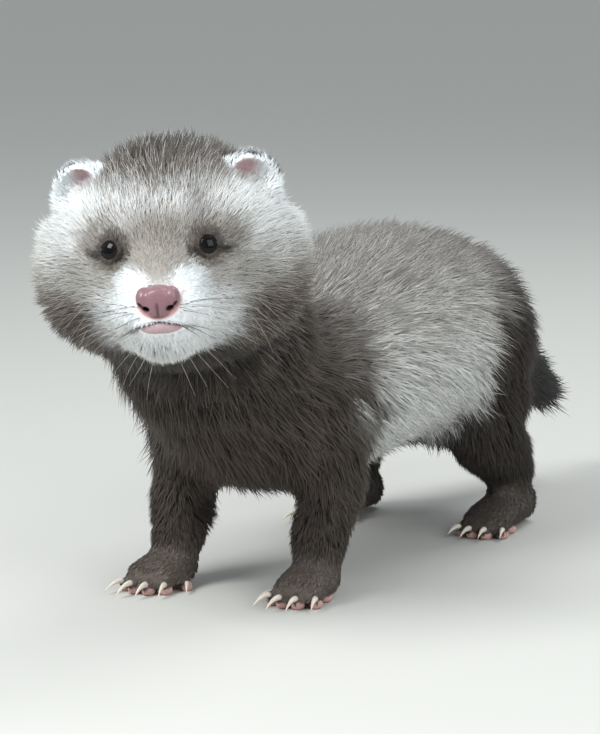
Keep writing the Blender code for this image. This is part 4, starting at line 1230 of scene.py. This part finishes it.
def makeWhiskers():
    groups = {"whiskersDark": ([], []), "whiskersPale": ([], [])}
    tree = kdtree.KDTree(len(skinPoints))
    for k, point in enumerate(skinPoints):
        tree.insert(point, k)
    tree.balance()

    def grow(group, across, forward, up, way, long, droop):
        spot, _, _ = tree.find(fromHead(across, forward, up))
        start = np.array(spot)
        share = np.linspace(0, 1, 12)
        route = start + headWay(*way) / np.linalg.norm(way) * (long * share * mm)[:, None]
        sway = chance.normal(0, 0.1)
        route = route + np.outer(share**2 * long * mm, headWay(sway, -0.5 * droop, -droop))
        groups[group][0].append(route)
        groups[group][1].append(np.maximum(whiskers["radius"][group] * (1 - share) ** 0.7, 0.02) * mm)

    for side in (-1, 1):
        for row in range(whiskers["rows"]):
            for k in range(whiskers["perRow"]):
                across = side * (whiskers["spread"][0] + 1.7 * k + chance.normal(0, 0.25))
                up = -13.2 - 1.6 * row + chance.normal(0, 0.3)
                forward = 62 - 1.5 * k
                long = (8.5 + 1.7 * k + 2 * chance.random()) * (1.05 - 0.07 * row)
                way = (side * (1.0 + 0.2 * chance.random()), 0.45 - 0.22 * k, 0.18 - 0.22 * row + chance.normal(0, 0.07))
                dark = k < 3 or (row < 2 and chance.random() < 0.4)
                grow("whiskersDark" if dark else "whiskersPale", across, forward, up, way, long, 0.12 + 0.1 * chance.random())
        for k in range(3):
            way = (side * (0.35 + 0.2 * k), 0.5, 0.9)
            grow("whiskersDark", side * (10.5 + 1.6 * k), 47, 7.5, way, 9 + 2 * chance.random(), 0.2)
        for k in range(4):
            way = (side * (0.4 + 0.25 * k), 0.25, -1)
            grow("whiskersPale", side * (3 + 2.4 * k), 55 - k, -28, way, 10 + 5 * chance.random(), 0.25 * chance.random())
        for k in range(3):
            way = (side * 0.8, 0.1, -0.6 - 0.2 * k)
            grow("whiskersPale", side * 22, 39 - 2 * k, -14 - 3 * k, way, 10 + 4 * chance.random(), 0.15)
    for name, (routes, radii) in groups.items():
        # Stiff sensory hairs: smooth keratin, thicker than fur, banded lighter and darker along their length.
        material, tree, shader = newMaterial(name + "Keratin", {"Roughness": 0.35, "IOR": 1.55})
        place = addNode(tree, "ShaderNodeTexCoord")
        bands = addNode(tree, "ShaderNodeTexNoise", {"Scale": 1 / (4 * mm), "Detail": 1}, {"Vector": place.outputs["Object"]})
        tone = addNode(tree, "ShaderNodeValToRGB", links={"Fac": bands.outputs["Fac"]})
        for stop, text in zip(tone.color_ramp.elements, whiskers["colour"][name]):
            stop.color = (*linear(text), 1)
        tree.links.new(tone.outputs["Color"], shader.inputs["Base Color"])
        settle(tubeMesh(name, routes, radii, 4), material, "face_fur")


makeWhiskers()
stage("whiskers made")

# Studio: a pale floor, soft light and the camera.
studio = {
    "floor": "C9C6C0", "azimuth": 26, "elevation": 8, "distance": 1.25, "lens": 195,
    "aim": (2, -40, 66),  # mm
    "light": (0.94, 0.985, 1.0),  # daylight, a little cool
}


def makeStudio():
    size = 60
    mesh = bpy.data.meshes.new("floor")
    mesh.from_pydata([(-size, -size, 0), (size, -size, 0), (size, size, 0), (-size, size, 0)], [], [(0, 1, 2, 3)])
    floor = bpy.data.objects.new("floor", mesh)
    bpy.context.scene.collection.objects.link(floor)
    material, tree, shader = newMaterial("paleFloor", {"Base Color": (*linear(studio["floor"]), 1), "Roughness": 0.8})
    mesh.materials.append(material)
    world = bpy.data.worlds.new("studio")
    world.use_nodes = True
    world.node_tree.nodes["Background"].inputs["Color"].default_value = (*linear("DCE5EA"), 1)
    world.node_tree.nodes["Background"].inputs["Strength"].default_value = 0.68
    bpy.context.scene.world = world
    target = Vector(studio["aim"]) * mm
    for name, azimuth, elevation, away, power, wide in (
        ("keyLight", -25, 44, 0.9, 8, 0.45), ("fillLight", 70, 30, 1.1, 5.5, 0.8), ("rimLight", 170, 50, 1.1, 4, 0.5),
    ):
        light = bpy.data.lights.new(name, "AREA")
        light.energy = power
        light.size = wide
        light.color = studio["light"]
        thing = bpy.data.objects.new(name, light)
        bpy.context.scene.collection.objects.link(thing)
        place(thing, target, azimuth, elevation, away)
    lens = bpy.data.cameras.new("camera")
    lens.lens = studio["lens"]
    lens.sensor_fit = "VERTICAL"
    lens.sensor_height = 36
    lens.clip_start = 0.01
    camera = bpy.data.objects.new("camera", lens)
    bpy.context.scene.collection.objects.link(camera)
    place(camera, target, studio["azimuth"], studio["elevation"], studio["distance"])
    bpy.context.scene.camera = camera


def place(thing, target, azimuth, elevation, away):
    a, e = math.radians(azimuth), math.radians(elevation)
    back = Vector((math.sin(a) * math.cos(e), -math.cos(a) * math.cos(e), math.sin(e)))
    thing.location = target + back * away
    thing.rotation_mode = "QUATERNION"
    thing.rotation_quaternion = (-back).to_track_quat("-Z", "Y")


makeStudio()
bpy.context.scene.view_settings.view_transform = "Standard"  # colours as a photograph keeps them
bpy.context.view_layer.update()
stage("scene ready")
